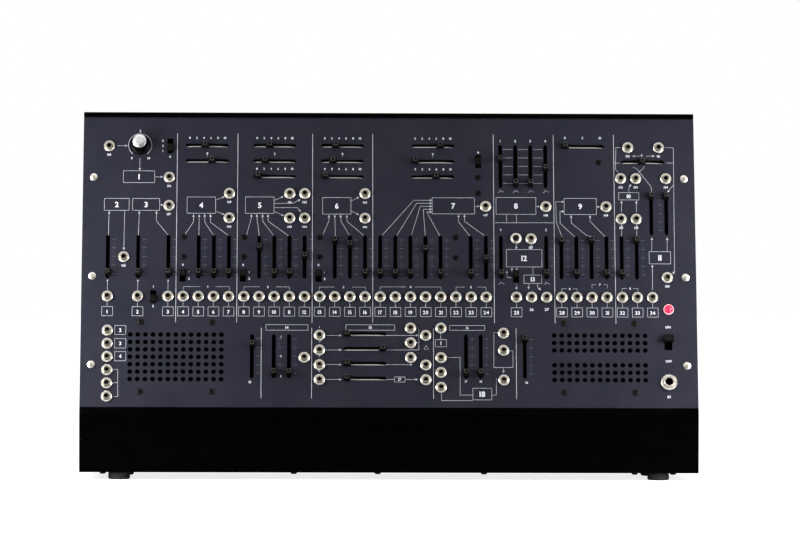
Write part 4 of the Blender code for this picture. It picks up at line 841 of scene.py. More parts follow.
PLAIN_LINES = (
    ((99.9, 168.0), (99.8, 161.1)), ((108.3, 168.0), (108.3, 161.1)), ((90.1, 161.2), (139.4, 161.4)),
    ((122.0, 121.9), (121.9, 115.7)), ((235.4, 227.9), (242.9, 228.0)), ((243.1, 214.4), (236.6, 214.4)),
    ((196.6, 214.2), (193.0, 214.2)), ((197.6, 228.0), (193.8, 228.0), (193.2, 208.6), (195.4, 206.0)),
    ((217.7, 211.4), (217.0, 209.4), (212.7, 205.9)),
    ((208.5, 210.5), (211.5, 209.1), (223.4, 193.3), (223.8, 188.5)),
    ((-2.9, 50.0), (24.9, 50.1), (25.0, 67.9)), ((-2.9, 24.5), (4.2, 24.5)), ((22.9, 56.5), (25.0, 56.5)),
    ((43.4, 64.4), (43.4, 59.2)), ((44.0, 13.2), (43.9, 6.4), (70.2, 6.5)),
    ((48.4, 43.7), (59.7, 43.7), (59.6, 11.2), (70.2, 11.2)),
    ((86.4, 11.2), (90.1, 11.2), (90.2, 25.3), (91.0, 25.3)),
    ((91.2, 65.4), (88.4, 65.4), (88.2, 35.1), (104.3, 35.1), (104.4, 49.5), (101.9, 49.5)),
    ((-232.4, 32.6), (-228.7, 32.6), (-228.4, 9.3), (-232.1, 9.3)), ((-232.3, 21.2), (-228.6, 21.2)),
)
# Brackets over the patch row: (start, end of the first half, start of the second, end, height)
BRACKETS = (
    (-174.2, -160.1, -147.0, -135.2, 104.6), (-122.9, -109.6, -96.0, -84.4, 104.6),
    (-59.2, -46.4, -31.1, -20.2, 104.5), (-7.7, 14.0, 22.1, 43.9, 104.8), (56.6, 63.6, 74.8, 81.9, 104.8),
    (146.3, 150.2, 155.7, 159.3, 103.6), (171.9, 175.3, 181.8, 184.8, 107.3),
    (197.4, 201.5, 206.9, 210.8, 104.0),
)
RANGE_MARKS = (("0", 0, 9.2, 1.9), ("1", 5.2, 2.8, 1.9), ("2", 5.2, -2.8, 1.9))
# Single marks by a place of the grid, each as (text, distance in u, distance in v, height)
MARKS = (
    (4.05, PREAMP_SWITCH, (
        ("0", 0, -9.5, 1.9), ("3", -6.4, 4.4, 1.9), ("2", -6.4, 0, 1.9), ("1", -6.4, -4.4, 1.9),
    )),
    (4.96, RANGE, RANGE_MARKS), (8.94, RANGE, RANGE_MARKS), (13.92, RANGE, RANGE_MARKS),
    (24.53, TUNE_2, (("0", 0, 8.0, 1.9),)), (3.03, PATCH, (("1", 0, 8.6, 1.9), ("2", 0, -8.4, 1.9))),
    (EDGE, POWER, (("ON", 0, 13.4, 2.0), ("OFF", 0, -16.2, 2.0))), (EDGE, PHONES, (("83", 0, -12.4, 2.0),)),
    (9.56, LOW_SLOT, (("15", -1.5, -22.4, 2.0),)), (27.52, LOW_SLOT, (("16", 1.5, -22.4, 2.0),)),
    (23.65, LOW_SLOT, (("17", 0, -21.6, 1.8),)), (24.62, LOW_SLOT, (("18", 0, -21.6, 1.8),)),
    (11.5, LOW_SLOT, (("1", -0.4, 16.6, 1.8), ("2", -0.4, 0, 1.8), ("3", -0.4, -17.4, 1.8))),
    (KNOB_COLUMN, TUNE, (("0", -7.0, -11.6, 1.9), ("10", 7.4, -11.6, 1.9), ("5", 0, 12.4, 1.9))),
    (31.49, TUNE, (("0", -15, 7.6, 1.9), ("5", 0, 7.6, 1.9), ("10", 15, 7.6, 1.9))),
    (35.48, TUNE_2, (("0", -0.6, 6.0, 1.8),)),
)
GLYPHS = {}


def glyph(letter):
    """Flat solid of one character, with its ends as shares of its height, and its height."""
    if letter not in GLYPHS:
        text = bpy.data.curves.new("glyph", "FONT")
        text.body = letter
        text.extrude = 0.5
        text.offset = 0.026
        text.resolution_u = 3
        shape = shape_of(settled(shown("glyph", text)))
        shape.finishes = [2] * len(shape.faces)
        across = [point.x for point in shape.points]
        tall = max(point.y for point in shape.points)
        GLYPHS[letter] = (shape, min(across) / tall, max(across) / tall, tall)
    return GLYPHS[letter]


def panel_mm(column, share):
    """Place of a point of the panel's grid, in millimetres of u and v."""
    return column_u(column) / MM, share * PANEL_LENGTH / MM


class Ink(Shape):
    """Print on the panel, placed in millimetres."""

    def flat(self, corners, finish=0):
        """Thin plate of print between corners."""
        loops = [[(point.x * MM, point.y * MM, w) for point in corners] for w in (INK_LOW, INK_TOP)]
        self.loft(PANEL, loops, finish=finish)

    def stroke(self, first, last, width=LINE, finish=0):
        """Straight line with square ends."""
        a, b = Vector(first), Vector(last)
        along = (b - a).normalized() * width / 2
        side = Vector((-along.y, along.x))
        self.flat((a - along - side, b + along - side, b + along + side, a - along + side), finish)

    def path(self, points, width=LINE):
        """Line through several points."""
        for first, last in zip(points, points[1:]):
            self.stroke(first, last, width)

    def arrow(self, tip, tail, size=2.0):
        """Arrow head that points from the tail to the tip."""
        end = Vector(tip)
        along = (end - Vector(tail)).normalized()
        side = Vector((-along.y, along.x)) * size / 2
        base = end - along * size
        self.flat((end, base + side, base - side))

    def frame(self, low_u, low_v, high_u, high_v):
        """Outline of a box."""
        self.path(((low_u, low_v), (high_u, low_v), (high_u, high_v), (low_u, high_v), (low_u, low_v)))

    def number(self, text, u, v, height=1.9, gap=0.14):
        """Plain number centred on a point. The gap between characters is a share of the height."""
        spans = [glyph(letter) for letter in text]
        total = sum(high - low for _, low, high, _ in spans) + gap * (len(text) - 1)
        along = -total / 2
        for shape, low, high, tall in spans:
            scale = height * MM / tall
            place = at(u * MM + (along - low) * height * MM, (v - height / 2) * MM, (INK_LOW + INK_TOP) / 2)
            size = Matrix.Diagonal((scale, scale, INK_TOP - INK_LOW, 1))
            self.copy(shape, PANEL @ place @ size)
            along += high - low + gap

    def mark(self, text, column, share, right=0.0, up=0.0, height=1.9):
        """Plain number beside a place of the grid."""
        u, v = panel_mm(column, share)
        self.number(text, u + right, v + up, height)

    def ticks(self, column, share, right=0.0, reach=3.2):
        """Scale beside an upright slot: five long ticks with faint short ones between."""
        u, v = panel_mm(column, share)
        start = u + right + 3.7
        steps, spacing = 20, 1.5
        for step in range(steps + 1):
            height = v + (step - steps / 2) * spacing
            if step % 5 == 0:
                self.stroke((start, height), (start + reach, height), FINE_LINE, 1)
            else:
                self.stroke((start + 0.6, height), (start + reach - 1.0, height), HAIR_LINE, 1)

    def curve(self, column, share, down):
        """Small plain curve under a slot, which rises, falls and levels out."""
        u, v = panel_mm(column, share)
        points = ((-2.4, -0.9), (-1.2, -0.9), (-0.3, 1.0), (0.7, 0.0), (1.8, 0.0), (2.6, -0.9))
        self.path([(u + x, v - down + y) for x, y in points], FINE_LINE)


def flow_print(ink):
    """Dividers, boxes and flow lines."""
    for columns, low, high in DIVIDERS:
        for column in columns:
            u = column_u(column) / MM
            ink.stroke((u, low), (u, high), HEAVY_LINE)
    for boxes, tallest in ((TITLE_BOXES, 4.6), (SMALL_BOXES, 3.0)):
        for number, (left, low, right, high) in enumerate(boxes, start=1):
            ink.frame(left, low, right, high)
            ink.number(str(number), (left + right) / 2, (low + high) / 2, min(tallest, (high - low) / 2))
    for points in ARROW_FIRST + ARROW_LAST + PLAIN_LINES:
        ink.path(points)
    for points in ARROW_FIRST:
        ink.arrow(points[0], points[1])
    for points in ARROW_LAST:
        ink.arrow(points[-1], points[-2])
    ink.path(((29.3, 50.6), (33.1, 50.6), (31.2, 54.0), (29.3, 50.6)), FINE_LINE)


def socket_print(ink):
    """Numbers of the sockets, boxes under the patch row and brackets over it."""
    for number, (start, pause, again, end, height) in enumerate(BRACKETS, start=1):
        ink.number(str(number), (pause + again) / 2, height)
        for u, turn in ((start, pause), (end, again)):
            ink.path(((u, height - 3.2), (u, height), (turn, height)), FINE_LINE)
    for number, column in enumerate(ROW_COLUMNS, start=1):
        u, patch = panel_mm(column, PATCH)
        if column in (28, 29):
            ink.number(str(number), u, 85.5, 2.2)
        else:
            ink.frame(u - BOX_LEFT, BOX_LOW, u + BOX_RIGHT, BOX_TOP)
            ink.stroke((u, BOX_TOP), (u, patch - 4.6))
            ink.number(str(number), u, 82.7, 3.0)
    for number, (column, share) in enumerate(MODULE_SOCKETS, start=len(ROW_COLUMNS) + 101):
        ink.mark(str(number), column, share, 0, -7.4)


def slider_print(ink):
    """Scales, numbers and curves by the sliders."""
    patch = PATCH * PANEL_LENGTH / MM
    for column in (0, 2, 4):
        u, v = panel_mm(column, MAIN)
        ink.path(((u, v - 20.8), (u, patch + 5)))
        ink.arrow((u, v - 20.0), (u, v - 30), 1.6)
    for _, column, share, _ in UPRIGHT_SLIDERS:
        if share in (MAIN, LOW_SLOT):
            ink.ticks(column, share)
    for column in FIXED_COLUMNS:
        if column != 26:
            ink.ticks(column, MAIN)
    for column in FIXED_LOW_COLUMNS:
        ink.ticks(column, LOW_SLOT, reach=2.8)
    ink.ticks(36, REVERB, right=2.9, reach=2.6)
    for column in (26, 27, 28):
        left, middle = panel_mm(column, ENVELOPE)
        right = column_u(column + 1) / MM
        for step in (-2, -1, 0, 1, 2):
            height = middle + step * 7.5
            ink.stroke((left + 2.4, height), (right - 2.4, height), FINE_LINE)
    for columns, share, up, down in (((26, 27, 28, 29), ENVELOPE, 22.4, 22.0), ((26, 29), MAIN, 24.2, 22.6)):
        for number, column in enumerate(columns, start=1):
            ink.mark(str(number), column, share, 0, up, 2.0)
            ink.curve(column, share, down)
    for name, column, share, _ in LEVEL_SLIDERS:
        if name.endswith("fine_slider"):
            u, v = panel_mm(column, share)
            ink.number("0", u, v + 6.4)
            ink.stroke((u, v + 4.9), (u, v + 3.4), FINE_LINE)
        elif name not in ("amplifier_gain_slider", "pan_slider"):
            for step in range(6):
                ink.mark(str(step * 2), column, share, (step - 2.5) * 6, 6.6)
    for number, (steps, _) in enumerate(PROCESSOR_SLIDERS, start=1):
        ink.mark(str(number), 14, processor_share(steps), 0, 6.0 if number == 1 else 6.3, 1.4)


def panel_print():
    """All lines, boxes, ticks and numbers on the panel."""
    ink = Ink()
    flow_print(ink)
    socket_print(ink)
    slider_print(ink)
    for column, share, marks in MARKS:
        for text, right, up, height in marks:
            ink.mark(text, column, share, right, up, height)
    u, v = panel_mm(KNOB_COLUMN, TUNE)
    radius, width = 9.9, 0.5
    arc = [math.radians(degrees) for degrees in range(-50, 231, 10)]
    ink.path([(u + radius * math.cos(angle), v + radius * math.sin(angle)) for angle in arc], width)
    ink.make("panel_print", [INK, FAINT_INK, BRIGHT_INK])


# Sockets, sliders and switches

SOCKET_BODY = ((0.0040, 0.0045, BOARD_FRONT), (0.0040, 0.0045, BEHIND))


def patch_sockets():
    """Barrels with their threads and bores, the hexagonal nuts round them and the bodies behind."""
    barrel, nut, body = Shape(), Shape(), Shape()
    profile = [(0.0030, BEHIND)]
    profile += [(0.0030 - 0.00006 * (step % 2), 0.0020 + 0.00030 * step) for step in range(5)]
    profile += [(0.0028, 0.0037), (0.00195, 0.0037), (0.0019, 0.0036), (0.0019, 0.0030), (0.0019, -0.0053)]
    # The barrel's front takes the darker nickel, painted shade inside the nut; the bore takes the near-black
    # finish.
    barrel.turn(HERE, profile, sides=20, bands=[0] * (len(profile) - 3) + [1, 1])
    nut.turn(HERE, (
        (0.0031, 0.0003), (0.0047, 0.0003, True), (0.0048, 0.0005, True), (0.0048, 0.0013, True),
        (0.0046, 0.0017, True), (0.0043, 0.0019), (0.0034, 0.0019), (0.0031, 0.0017),
    ), sides=36, flat=0.0047, ring=True)
    body.block(HERE, SOCKET_BODY, corner=0.0006)
    barrels, nuts, bodies = Shape(), Shape(), Shape()
    for place in socket_spots():
        barrels.copy(barrel, place)
        bodies.copy(body, place)
        nuts.copy(nut, place @ Matrix.Rotation(random.uniform(0, math.pi / 3), 4, "Z"))
    barrels.make("patch_barrels", [SHADED_NICKEL, DARK_MOULDING_AND_SHADE], slot="nickel")
    nuts.make("patch_nuts", [NICKEL], slot="nickel")
    bodies.make("socket_bodies", [PLASTIC], slot="black_plastic")


def slider_cap(level):
    """Cap and stem of a slider, with its travel along Y. The stem of a level one is a thin tongue."""
    made = Shape()
    middle, half = (-0.0006, 0.0003) if level else (0.0, 0.0008)
    made.block(at(middle, 0), ((half, 0.0014, -0.0074), (half, 0.0014, 0.0012)), corner=0.0002, finish=2)
    profile = (
        (0.0023, 0.0032, 0.0010), (0.0025, 0.0034, 0.0013), (0.0024, 0.0031, 0.0026),
        (0.0020, 0.0021, 0.0052), (0.00165, 0.00175, 0.0076), (0.0015, 0.0016, 0.0080),
        (0.00125, 0.00135, 0.0080), (0.0010, 0.0011, 0.0073),
    )
    # The two bands round the top edge take the pale finish: a painted highlight.
    made.block(HERE, profile, corner=0.0007, steps=3, bands=[0, 0, 0, 0, 1, 1, 0])
    return made


def sliders():
    """Caps of all sliders. The fixed ones are one piece."""
    materials = [PLASTIC, CAP_TOP_HIGHLIGHT, ZINC]
    shapes = {level: slider_cap(level) for level in (False, True)}
    meshes = {level: shape.mesh("slider_cap", materials) for level, shape in shapes.items()}
    for name, place, setting in moving_slots():
        set_place = place @ at(0, (setting - 0.5) * TRAVEL)
        place_piece(name + "_cap", meshes[is_level(place)], name, [name], set_place)
    fixed = Shape()
    for place, setting in fixed_slots():
        fixed.copy(shapes[is_level(place)], place @ at(0, (setting - 0.5) * TRAVEL))
    fixed.make("fixed_slider_caps", materials, slot="black_plastic")


def slider_housings():
    """Housings behind the slots, near-black inside the slit as painted shade, and a pale strip in each level
    slot as painted light.
    """
    half, slit, floor, end = 0.004, 0.00105, BEHIND - SLIT_DEPTH, 0.02225
    section = (
        (-half, BOARD_FRONT), (half, BOARD_FRONT), (half, BEHIND), (slit, BEHIND),
        (slit, floor), (-slit, floor), (-slit, BEHIND), (-half, BEHIND),
    )
    faces = [(i, (i + 1) % 8, 8 + (i + 1) % 8, 8 + i) for i in range(8)]
    faces += [tuple(range(8)), tuple(range(8, 16))]
    reach, edge, strip_top = LEVEL_SLOT_LENGTH / 2, 0.0014, -0.0008
    loops = []
    # The strip narrows towards the slot's ends: painted shade where the ends keep the light out.
    for y, x in ((-reach, 0.0010), (-reach + 0.004, 0.0005), (reach - 0.007, 0.0005), (reach, 0.0012)):
        loops.append([(x, y, BEHIND), (edge, y, BEHIND), (edge, y, strip_top), (x, y, strip_top)])
    housings, strips = Shape(), Shape()
    for place in all_slots():
        points = [place @ Vector((x, y, z)) for y in (-end, end) for x, z in section]
        # The faces that show through the slot take the near-black finish, painted shade; the rest of the
        # housing is zinc.
        housings.add(points, faces, [0, 0, 1, 1, 1, 1, 1, 0, 0, 0])
        if is_level(place):
            strips.loft(place, loops)
    housings.make("slider_housings", [ZINC, DARK_MOULDING_AND_SHADE], slot="zinc_steel")
    strips.make("level_slot_painted_light_strips", [SLOT_PAINTED_LIGHT], slot="zinc_steel")


def switches():
    """Levers of the slide switches, the cap of the power switch, and their housings."""
    foot, wall = BEHIND - 0.0052, 0.0014
    lever = Shape()
    profile = ((0.0022, 0.0027, foot), (0.0022, 0.0027, 0.0040), (0.0020, 0.0025, 0.0046))
    lever.block(HERE, profile, corner=0.0003)
    for offset in (-0.0015, 0, 0.0015):
        lever.box(at(0, offset), (-0.0019, -0.00030, 0.0045), (0.0019, 0.00030, 0.0046))
    mesh = lever.mesh("switch_lever", [LEVER])
    for name, column, share, setting in SWITCHES:
        place = spot(column, share) @ at(0, (setting - 0.5) * SWITCH_TRAVEL)
        place_piece(name + "_lever", mesh, name, [name], place)
    power = Shape()
    power.block(HERE, ((0.0028, 0.0027, foot), (0.0028, 0.0027, 0.0012)), corner=0.0003)
    power.block(HERE, (
        (0.0045, 0.0031, 0.0010), (0.0047, 0.0033, 0.0013), (0.0046, 0.0032, 0.0040),
        (0.0043, 0.0028, 0.0066), (0.0040, 0.0025, 0.0070),
    ), corner=0.0008, steps=3)
    for offset in (-0.0016, -0.0008, 0, 0.0008, 0.0016):
        power.box(at(0, offset), (-0.0038, -0.00016, 0.0066), (0.0038, 0.00016, 0.0070))
    mesh = power.mesh("power_switch_cap", [PLASTIC])
    place = spot(EDGE, POWER) @ at(0, POWER_TRAVEL / 2)
    place_piece("power_switch_cap", mesh, "power_switch", ["power_switch"], place)
    bodies = Shape()
    openings = [(column, share, SWITCH_HALF, switch_slot(name)) for name, column, share, _ in SWITCHES]
    for column, share, x, y in openings + [(EDGE, POWER, *POWER_SIZE)]:
        outer, inner = (x + wall, y + wall), (x, y)
        profile = ((*outer, BOARD_FRONT), (*outer, BEHIND), (*inner, BEHIND), (*inner, BEHIND - SLIT_DEPTH))
        bodies.block(spot(column, share), profile, corner=0.0003)
    bodies.make("switch_housings", [DARK_MOULDING_AND_SHADE], slot="black_plastic")


def preamp_knob():
    """Fluted black knob with a brushed cap, and the control's body behind the panel."""
    place = spot(KNOB_COLUMN, TUNE)
    sides, flutes, flute_depth = 96, 24, 0.00022
    knob = Shape()
    knob.turn(HERE, ((0.0030, -0.0078), (0.0030, 0.0012)), finish=2)
    loops = []
    for radius, height, flute in (
        (0.0084, 0.0010, 0), (0.0088, 0.0014, 0), (0.0087, 0.0022, 0), (0.0080, 0.0031, 0),
        (0.0069, 0.0036, 0), (0.0068, 0.0040, 1), (0.0066, 0.0105, 1), (0.0064, 0.0116, 0.3),
        (0.0060, 0.0118, 0),
    ):
        loop = []
        for index in range(sides):
            angle = math.tau * index / sides
            reach = radius - flute * flute_depth * (1 - math.cos(angle * flutes)) / 2
            loop.append((reach * math.cos(angle), reach * math.sin(angle), height))
        loops.append(loop)
    knob.loft(HERE, loops)
    knob.turn(HERE, (
        (0.0058, 0.0112), (0.0059, 0.0119), (0.0059, 0.0130), (0.0056, 0.0137), (0.0048, 0.0142),
        (0.0032, 0.0144), (0.0012, 0.0145),
    ), sides=48, finish=1)
    mesh = knob.mesh("preamp_knob_cap", [SHADED_KNOB_PLASTIC, BRUSHED, ZINC])
    place_piece("preamp_knob_cap", mesh, "preamp_knob", ["preamp_knob"], place)
    body = Shape()
    profile = ((0.0080, BOARD_FRONT), (0.0080, BEHIND), (0.0034, BEHIND), (0.0034, BEHIND - 0.0062))
    body.turn(place, profile, sides=32)
    body.make("preamp_control_body", [ZINC], slot="zinc_steel")


def start_button():
    """Push button in its barrel and nut."""
    place = spot(START_COLUMN, GATE)
    barrel = Shape()
    barrel.turn(place, (
        (0.0032, BEHIND), (0.0032, 0.0032), (0.0031, 0.0037), (0.0029, 0.0037), (0.0028, 0.0034),
        (0.0028, -0.0038),
    ), bands=[0, 0, 0, 0, 1])
    barrel.turn(place, (
        (0.0031, 0.0003), (0.0050, 0.0003, True), (0.0051, 0.0005, True), (0.0051, 0.0015, True),
        (0.0047, 0.0020, True), (0.0040, 0.0021, True), (0.0036, 0.0019), (0.0033, 0.0016),
    ), flat=0.0048, ring=True, start=0.3)
    barrel.block(place, SOCKET_BODY, corner=0.0006, finish=1)
    barrel.make("start_button_barrel", [NICKEL, DARK_MOULDING_AND_SHADE], slot="nickel")
    button = Shape()
    profile = ((0.0024, -0.0006), (0.00245, 0.0046), (0.0022, 0.0053), (0.0017, 0.0056), (0.0007, 0.0056))
    button.turn(HERE, profile)
    mesh = button.mesh("start_button_cap", [PLASTIC])
    place_piece("start_button_cap", mesh, "start_button", ["start_button"], place)


def power_lamp():
    """Domed red lens in its rim."""
    place = spot(LAMP_COLUMN, LAMP)
    lamp_shape = Shape()
    lamp_shape.turn(place, (
        (0.0037, 0.0003), (0.0044, 0.0003), (0.00445, 0.0006), (0.0043, 0.0012), (0.0040, 0.0014),
        (0.0037, 0.0012),
    ), sides=32, ring=True, finish=1)
    dome = [(0.0030, BOARD_FRONT + GAP), (0.0030, 0.0003), (0.0037, 0.0004)]
    for degrees in (0, 20, 40, 60, 78):
        angle = math.radians(degrees)
        dome.append((0.0037 * math.cos(angle), 0.0010 + 0.0026 * math.sin(angle)))
    lamp_shape.turn(place, dome, sides=32)
    lamp_shape.make("power_lamp_lens", [LENS, LAMP_RIM], slot="red_lens", replaces=["power_lamp"])


def phone_socket(shape, place, behind, bushing, nut, nut_height, proud, bore=0.0033):
    """Large socket: body, nut, bushing and bore."""
    shape.turn(place, (
        (PHONE_BODY, behind - 0.0275), (PHONE_BODY, behind), (bushing, behind), (bushing, proud - 0.0004),
        (bushing - 0.0004, proud), (bore + 0.0003, proud), (bore, proud - 0.0004), (bore, proud - 0.0026),
        (bore, proud - 0.0260),
    ), sides=36, bands=[1, 1, 0, 0, 0, 0, 0, 1])
    shape.turn(place, (
        (bushing + 0.0001, GAP), (nut - 0.0001, GAP), (nut, GAP + 0.0003), (nut, nut_height - 0.0007),
        (nut - 0.0007, nut_height), (bushing + 0.0005, nut_height), (bushing + 0.0001, nut_height - 0.0004),
    ), sides=36, ring=True)


def headphone_socket():
    """Large socket at the panel's corner."""
    made = Shape()
    phone_socket(made, spot(EDGE, PHONES), BEHIND, 0.0045, 0.0069, nut_height=0.0026, proud=0.0050)
    made.make("headphone_bushing", [NICKEL, DARK_MOULDING_AND_SHADE], slot="nickel", replaces=["headphone_socket"])


# Inside and behind

def control_boards():
    """The two boards behind the panel, cut out round the speakers and the headphone socket."""
    left, right = (column_u(column) for column in SPEAKER_COLUMNS)
    margin, flange_clearance, phones_clearance, jog_share = 0.006, 0.0005, 0.010, 0.325
    reach = SPEAKER_HALF + margin
    side = HALF_WIDTH - END_FLANGE - flange_clearance
    notch = SPEAKER * PANEL_LENGTH + reach
    top = PANEL_LENGTH - 2 * margin
    phones = PHONES * PANEL_LENGTH + phones_clearance
    jog = jog_share * PANEL_LENGTH
    below, above = column_u(19.35), column_u(17.5)
    for name, outline in (("left", (
        (-side, margin), (left - reach, margin), (left - reach, notch), (left + reach, notch),
        (left + reach, margin), (below - GAP, margin), (below - GAP, jog - GAP), (above - GAP, jog - GAP),
        (above - GAP, top), (-side, top),
    )), ("right", (
        (below + GAP, margin), (right - reach, margin), (right - reach, notch), (right + reach, notch),
        (right + reach, phones), (side, phones), (side, top), (above + GAP, top), (above + GAP, jog + GAP),
        (below + GAP, jog + GAP),
    ))):
        board = Shape()
        heights = (BOARD_FRONT - BOARD_THICKNESS, BOARD_FRONT)
        board.loft(PANEL, [[(u, v, w) for u, v in outline] for w in heights])
        board.make(name + "_board_plate", [BOARD], slot="circuit_board", replaces=[name + "_control_board"])


def square(half, corner, depth, sides):
    """Points of a square with round corners, evenly spaced in direction."""
    points = []
    for x, y, _ in circle(1, sides=sides):
        reach = min(half / max(abs(x), abs(y)), half * math.sqrt(2) - corner)
        points.append((reach * x, reach * y, depth))
    return points


def speakers():
    """Both speakers, with frame, magnet, cone, surround and dust cap."""
    frame_back = BEHIND - 0.0015
    basket = frame_back - 0.020
    sides = 48
    steel, paper, dark = 0, 1, 2
    magnet = [(0.0215, basket - 0.011), (0.0225, basket - 0.010), (0.0225, basket)]
    frame_rings = [(0.0190, basket), (0.0330, frame_back)]
    loops = [circle(radius, depth, sides) for radius, depth in magnet + frame_rings]
    loops += [square(SPEAKER_HALF, 0.003, depth, sides) for depth in (frame_back, BEHIND)]
    loops.append(circle(0.0318, BEHIND, sides))
    for step in range(5):
        angle = math.pi * step / 4
        depth = BEHIND - 0.0018 + 0.0013 * math.sin(angle)
        loops.append(circle(0.0300 + 0.0014 * math.cos(angle), depth, sides))
    cone = ((0.0200, 0.0065), (0.0100, 0.0115), (0.0098, 0.0110), (0.0070, 0.0088), (0.0030, 0.0078))
    loops += [circle(radius, BEHIND - depth, sides) for radius, depth in cone]
    bands = [steel] * 5 + [paper] * 3 + [dark] * 5 + [paper] * 4
    for name, column in zip(("left_speaker", "right_speaker"), SPEAKER_COLUMNS):
        made = Shape()
        made.loft(spot(column, SPEAKER), loops, bands=bands)
        made.make(name + "_driver", [BLACK_STEEL, SHADED_PAPER, DARK_MOULDING_AND_SHADE], slot="black_steel", replaces=[name])


def spring(shape, place, reach=0.0930, radius=0.0022, wire=0.00028, turns=118, steps=9):
    """Coiled spring along X, from a wire with four sides."""
    loops = []
    for index in range(turns * steps + 1):
        angle = math.tau * index / steps
        x = -reach + 2 * reach * index / (turns * steps)
        out = Vector((0, math.cos(angle), math.sin(angle)))
        centre = Vector((x, 0, 0)) + out * radius
        across = [(wire * math.cos(a), wire * math.sin(a)) for a in (0.0, 1.57, 3.14, 4.71)]
        loops.append([centre + out * rise + Vector((along, 0, 0)) for rise, along in across])
    shape.loft(place, loops, finish=2)


def reverb_tank():
    """Open tray with a transducer at each end and two coiled springs."""
    half_length, half_width, height, wall = 0.1175, 0.050, 0.033, 0.0012
    middle, from_back, transducer_reach, spring_apart, spring_height = -0.403, 0.010, 0.1015, 0.012, 0.016
    place = at(middle * HALF_WIDTH, BACK_Y - SHEET - from_back - half_width, FOOT_HEIGHT + SHEET + GAP)
    tank = Shape()
    outer, inner = (half_length, half_width), (half_length - wall, half_width - wall)
    tank.block(place, ((*outer, 0), (*outer, height), (*inner, height), (*inner, wall)), corner=0.002)
    transducer = ((0.008, 0.030, 0.0010), (0.008, 0.030, 0.0226), (0.0072, 0.0292, 0.0232))
    for side in (-1, 1):
        tank.block(place @ at(side * transducer_reach, 0), transducer, corner=0.0012, finish=1)
    for side in (-1, 1):
        spring(tank, place @ at(0, side * spring_apart, spring_height))
    tank.make("reverb_tray", [ZINC, BLACK_STEEL, CHROME], slot="zinc_steel", replaces=["reverb_tank"])


def rear_connectors():
    """Connector board with the sockets that show in the back wall."""
    board = Shape()
    inner = BACK_Y - SHEET - GAP
    low_share, high_share, depth = 0.31, 0.91, 0.034
    low = (low_share * HALF_WIDTH, inner - depth, REAR_BOARD_TOP - BOARD_THICKNESS)
    board.box(HERE, low, (high_share * HALF_WIDTH, inner, REAR_BOARD_TOP))
    board.make("connector_plate", [BOARD], slot="circuit_board", replaces=["connector_board"])
    outputs = Shape()
    for place in OUTPUTS:
        phone_socket(outputs, place, -SHEET - GAP, REAR_BUSHING, 0.0082, 0.0020, REAR_PROTRUSION)
    outputs.make("output_sockets", [NICKEL, DARK_MOULDING_AND_SHADE], slot="nickel")
    din = Shape()
    din.turn(DIN, (
        (DIN_RADIUS, -0.012), (DIN_RADIUS, 0.0), (0.0083, 0.0003), (0.0078, 0.0003), (0.0076, 0.0),
        (0.0076, -0.006), (0.0063, -0.006), (0.0063, -0.0003), (0.0060, 0.0),
    ), sides=48, bands=[0, 0, 0, 0, 0, 0, 1, 1])
    pole_reach = 0.0034
    pole = ((0.00055, -0.0006), (0.00085, -0.0006), (0.00085, 0.00008), (0.00055, 0.00008))
    for degrees in range(180, 361, 45):
        angle = math.radians(degrees)
        place = DIN @ at(pole_reach * math.cos(angle), pole_reach * math.sin(angle))
        din.turn(place, pole, sides=12, ring=True)
    din.make("round_socket", [NICKEL, PLASTIC], slot="nickel")
    inlet = Shape()
    inlet.turn(INLET, (
        (INLET_RADIUS, -0.011), (INLET_RADIUS, 0.0), (0.0053, 0.0003), (0.0034, 0.0003), (0.0031, 0.0),
        (0.0031, -0.006),
    ), sides=40)
    inlet.turn(INLET, ((0.0011, -0.0070), (0.0011, -0.0006), (0.0008, -0.0002)), sides=16, finish=1)
    inlet.make("power_inlet", [PLASTIC, NICKEL], slot="black_plastic")
    usb = Shape()
    for place, inner_size in ((USB_B, USB_B_SIZE), (USB_A, USB_A_SIZE)):
        outer_size = [side + USB_SHELL for side in inner_size]
        depths = ((*outer_size, -0.015), (*outer_size, GAP), (*inner_size, GAP), (*inner_size, -0.012))
        usb.block(place, depths)
    for place, tongue in (
        (USB_B, ((0.0028, 0.0016, -0.0118), (0.0028, 0.0016, -0.0012))),
        (USB_A @ at(0, 0.0008), ((0.0056, 0.0008, -0.0118), (0.0056, 0.0008, -0.0010))),
    ):
        usb.block(place, tongue, corner=0.0002, finish=1)
    usb.make("data_sockets", [CHROME, WHITE_PLASTIC], slot="nickel")


# Stage, camera and light

def camera_mix(tree, lighting, seen, out):
    """Send an output one shader for the camera, also through glass, and another for all other light."""
    paths = node(tree, "LightPath")
    direct = node(tree, "Math", operation="MAXIMUM")
    link(tree, paths, "Is Camera Ray", direct, 0)
    link(tree, paths, "Is Transmission Ray", direct, 1)
    mix = node(tree, "MixShader")
    for socket, source in enumerate((direct, lighting, seen)):
        link(tree, source, 0, mix, socket)
    link(tree, mix, 0, out, "Surface")


def floor():
    """Grey floor with a glow that only the camera sees, also through glass, so that it looks white."""
    finish = bpy.data.materials.new("floor")
    finish.use_nodes = True
    tree = finish.node_tree
    tree.nodes.clear()
    matt = node(tree, "BsdfDiffuse", color=(*grey(0.50), 1))
    both = node(tree, "AddShader")
    link(tree, matt, 0, both, 0)
    link(tree, node(tree, "Emission", strength=0.80), 0, both, 1)
    camera_mix(tree, matt, both, node(tree, "OutputMaterial"))
    reach = 14.0
    mesh = bpy.data.meshes.new("floor")
    mesh.from_pydata(rectangle(reach, reach, 0), [], [(0, 1, 2, 3)])
    mesh.materials.append(finish)
    shown("floor", mesh)


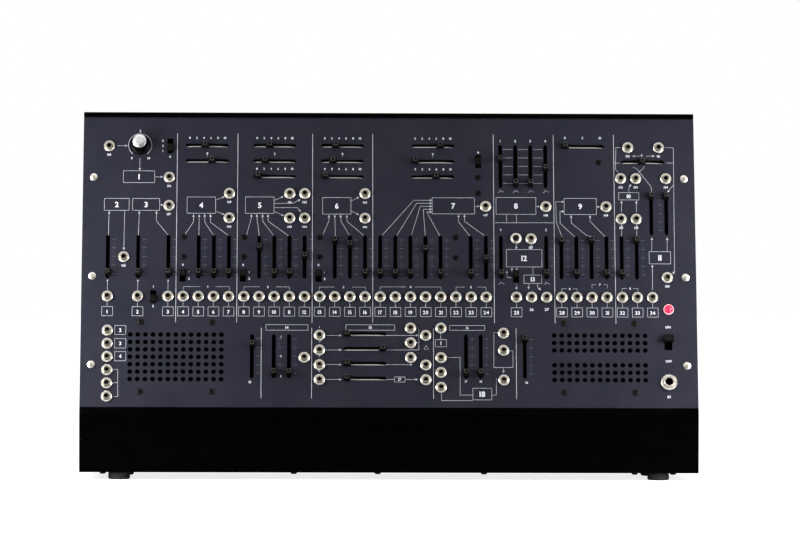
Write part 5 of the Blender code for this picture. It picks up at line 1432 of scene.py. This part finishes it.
def sky():
    """World that is white to the camera. For all other light only its upper part is bright."""
    world = bpy.data.worlds.new("studio")
    world.use_nodes = True
    tree = world.node_tree
    tree.nodes.clear()
    white = node(tree, "Background", color=(1, 1, 1, 1))
    split = node(tree, "SeparateXYZ")
    link(tree, node(tree, "TexCoord"), "Generated", split, "Vector")
    span = node(tree, "MapRange", interpolation_type="SMOOTHSTEP", from_min=0.20, from_max=0.46,
                to_min=0.05, to_max=1.0)
    link(tree, split, "Z", span, "Value")
    room = node(tree, "Background")
    link(tree, span, "Result", room, "Strength")
    camera_mix(tree, room, white, node(tree, "OutputWorld"))
    bpy.context.scene.world = world


def lamp(name, place, target, size, power):
    """Soft rectangular lamp that faces a point."""
    light = bpy.data.lights.new(name, "AREA")
    light.shape = "RECTANGLE"
    light.size, light.size_y = size
    light.energy = power
    made = shown(name, light)
    made.location = place
    made.rotation_euler = (Vector(target) - Vector(place)).to_track_quat("-Z", "Y").to_euler()


def camera():
    """Camera at the photograph's angle."""
    yaw, pitch, roll = math.radians(-1.0550), math.radians(0.0639), math.radians(0.1644)
    place = (-0.0596, -3.7654, 0.1756)
    focal_pixels, picture_width = 4403.4, 800
    look = Vector((-math.sin(yaw) * math.cos(pitch), math.cos(yaw) * math.cos(pitch), math.sin(pitch)))
    level = Vector((math.cos(yaw), math.sin(yaw), 0))
    rise = level.cross(look)
    right = math.cos(roll) * level + math.sin(roll) * rise
    up = -math.sin(roll) * level + math.cos(roll) * rise
    data = bpy.data.cameras.new("camera")
    data.sensor_width = 36.0
    data.lens = focal_pixels / picture_width * data.sensor_width
    data.clip_end = 100.0
    made = shown("camera", data)
    made.matrix_world = at(*place) @ Matrix((right, up, -look)).transposed().to_4x4()
    bpy.context.scene.camera = made


case_sheets()
end_cheeks()
screws()
feet()
front_panel()
panel_print()
patch_sockets()
sliders()
slider_housings()
switches()
preamp_knob()
start_button()
power_lamp()
headphone_socket()
control_boards()
speakers()
reverb_tank()
rear_connectors()
floor()
sky()
camera()
lamp("left_box", (-0.50, -0.30, 0.20), (-0.1, 0, 0.14), (0.2, 0.4), 4.4)
lamp("right_box", (0.50, -0.30, 0.20), (0.1, 0, 0.14), (0.2, 0.4), 4.0)
lamp("top_box", (0, -0.5, 1.7), (0, 0, 0.15), (1.6, 0.9), 3)
bpy.context.scene.view_settings.view_transform = "Standard"
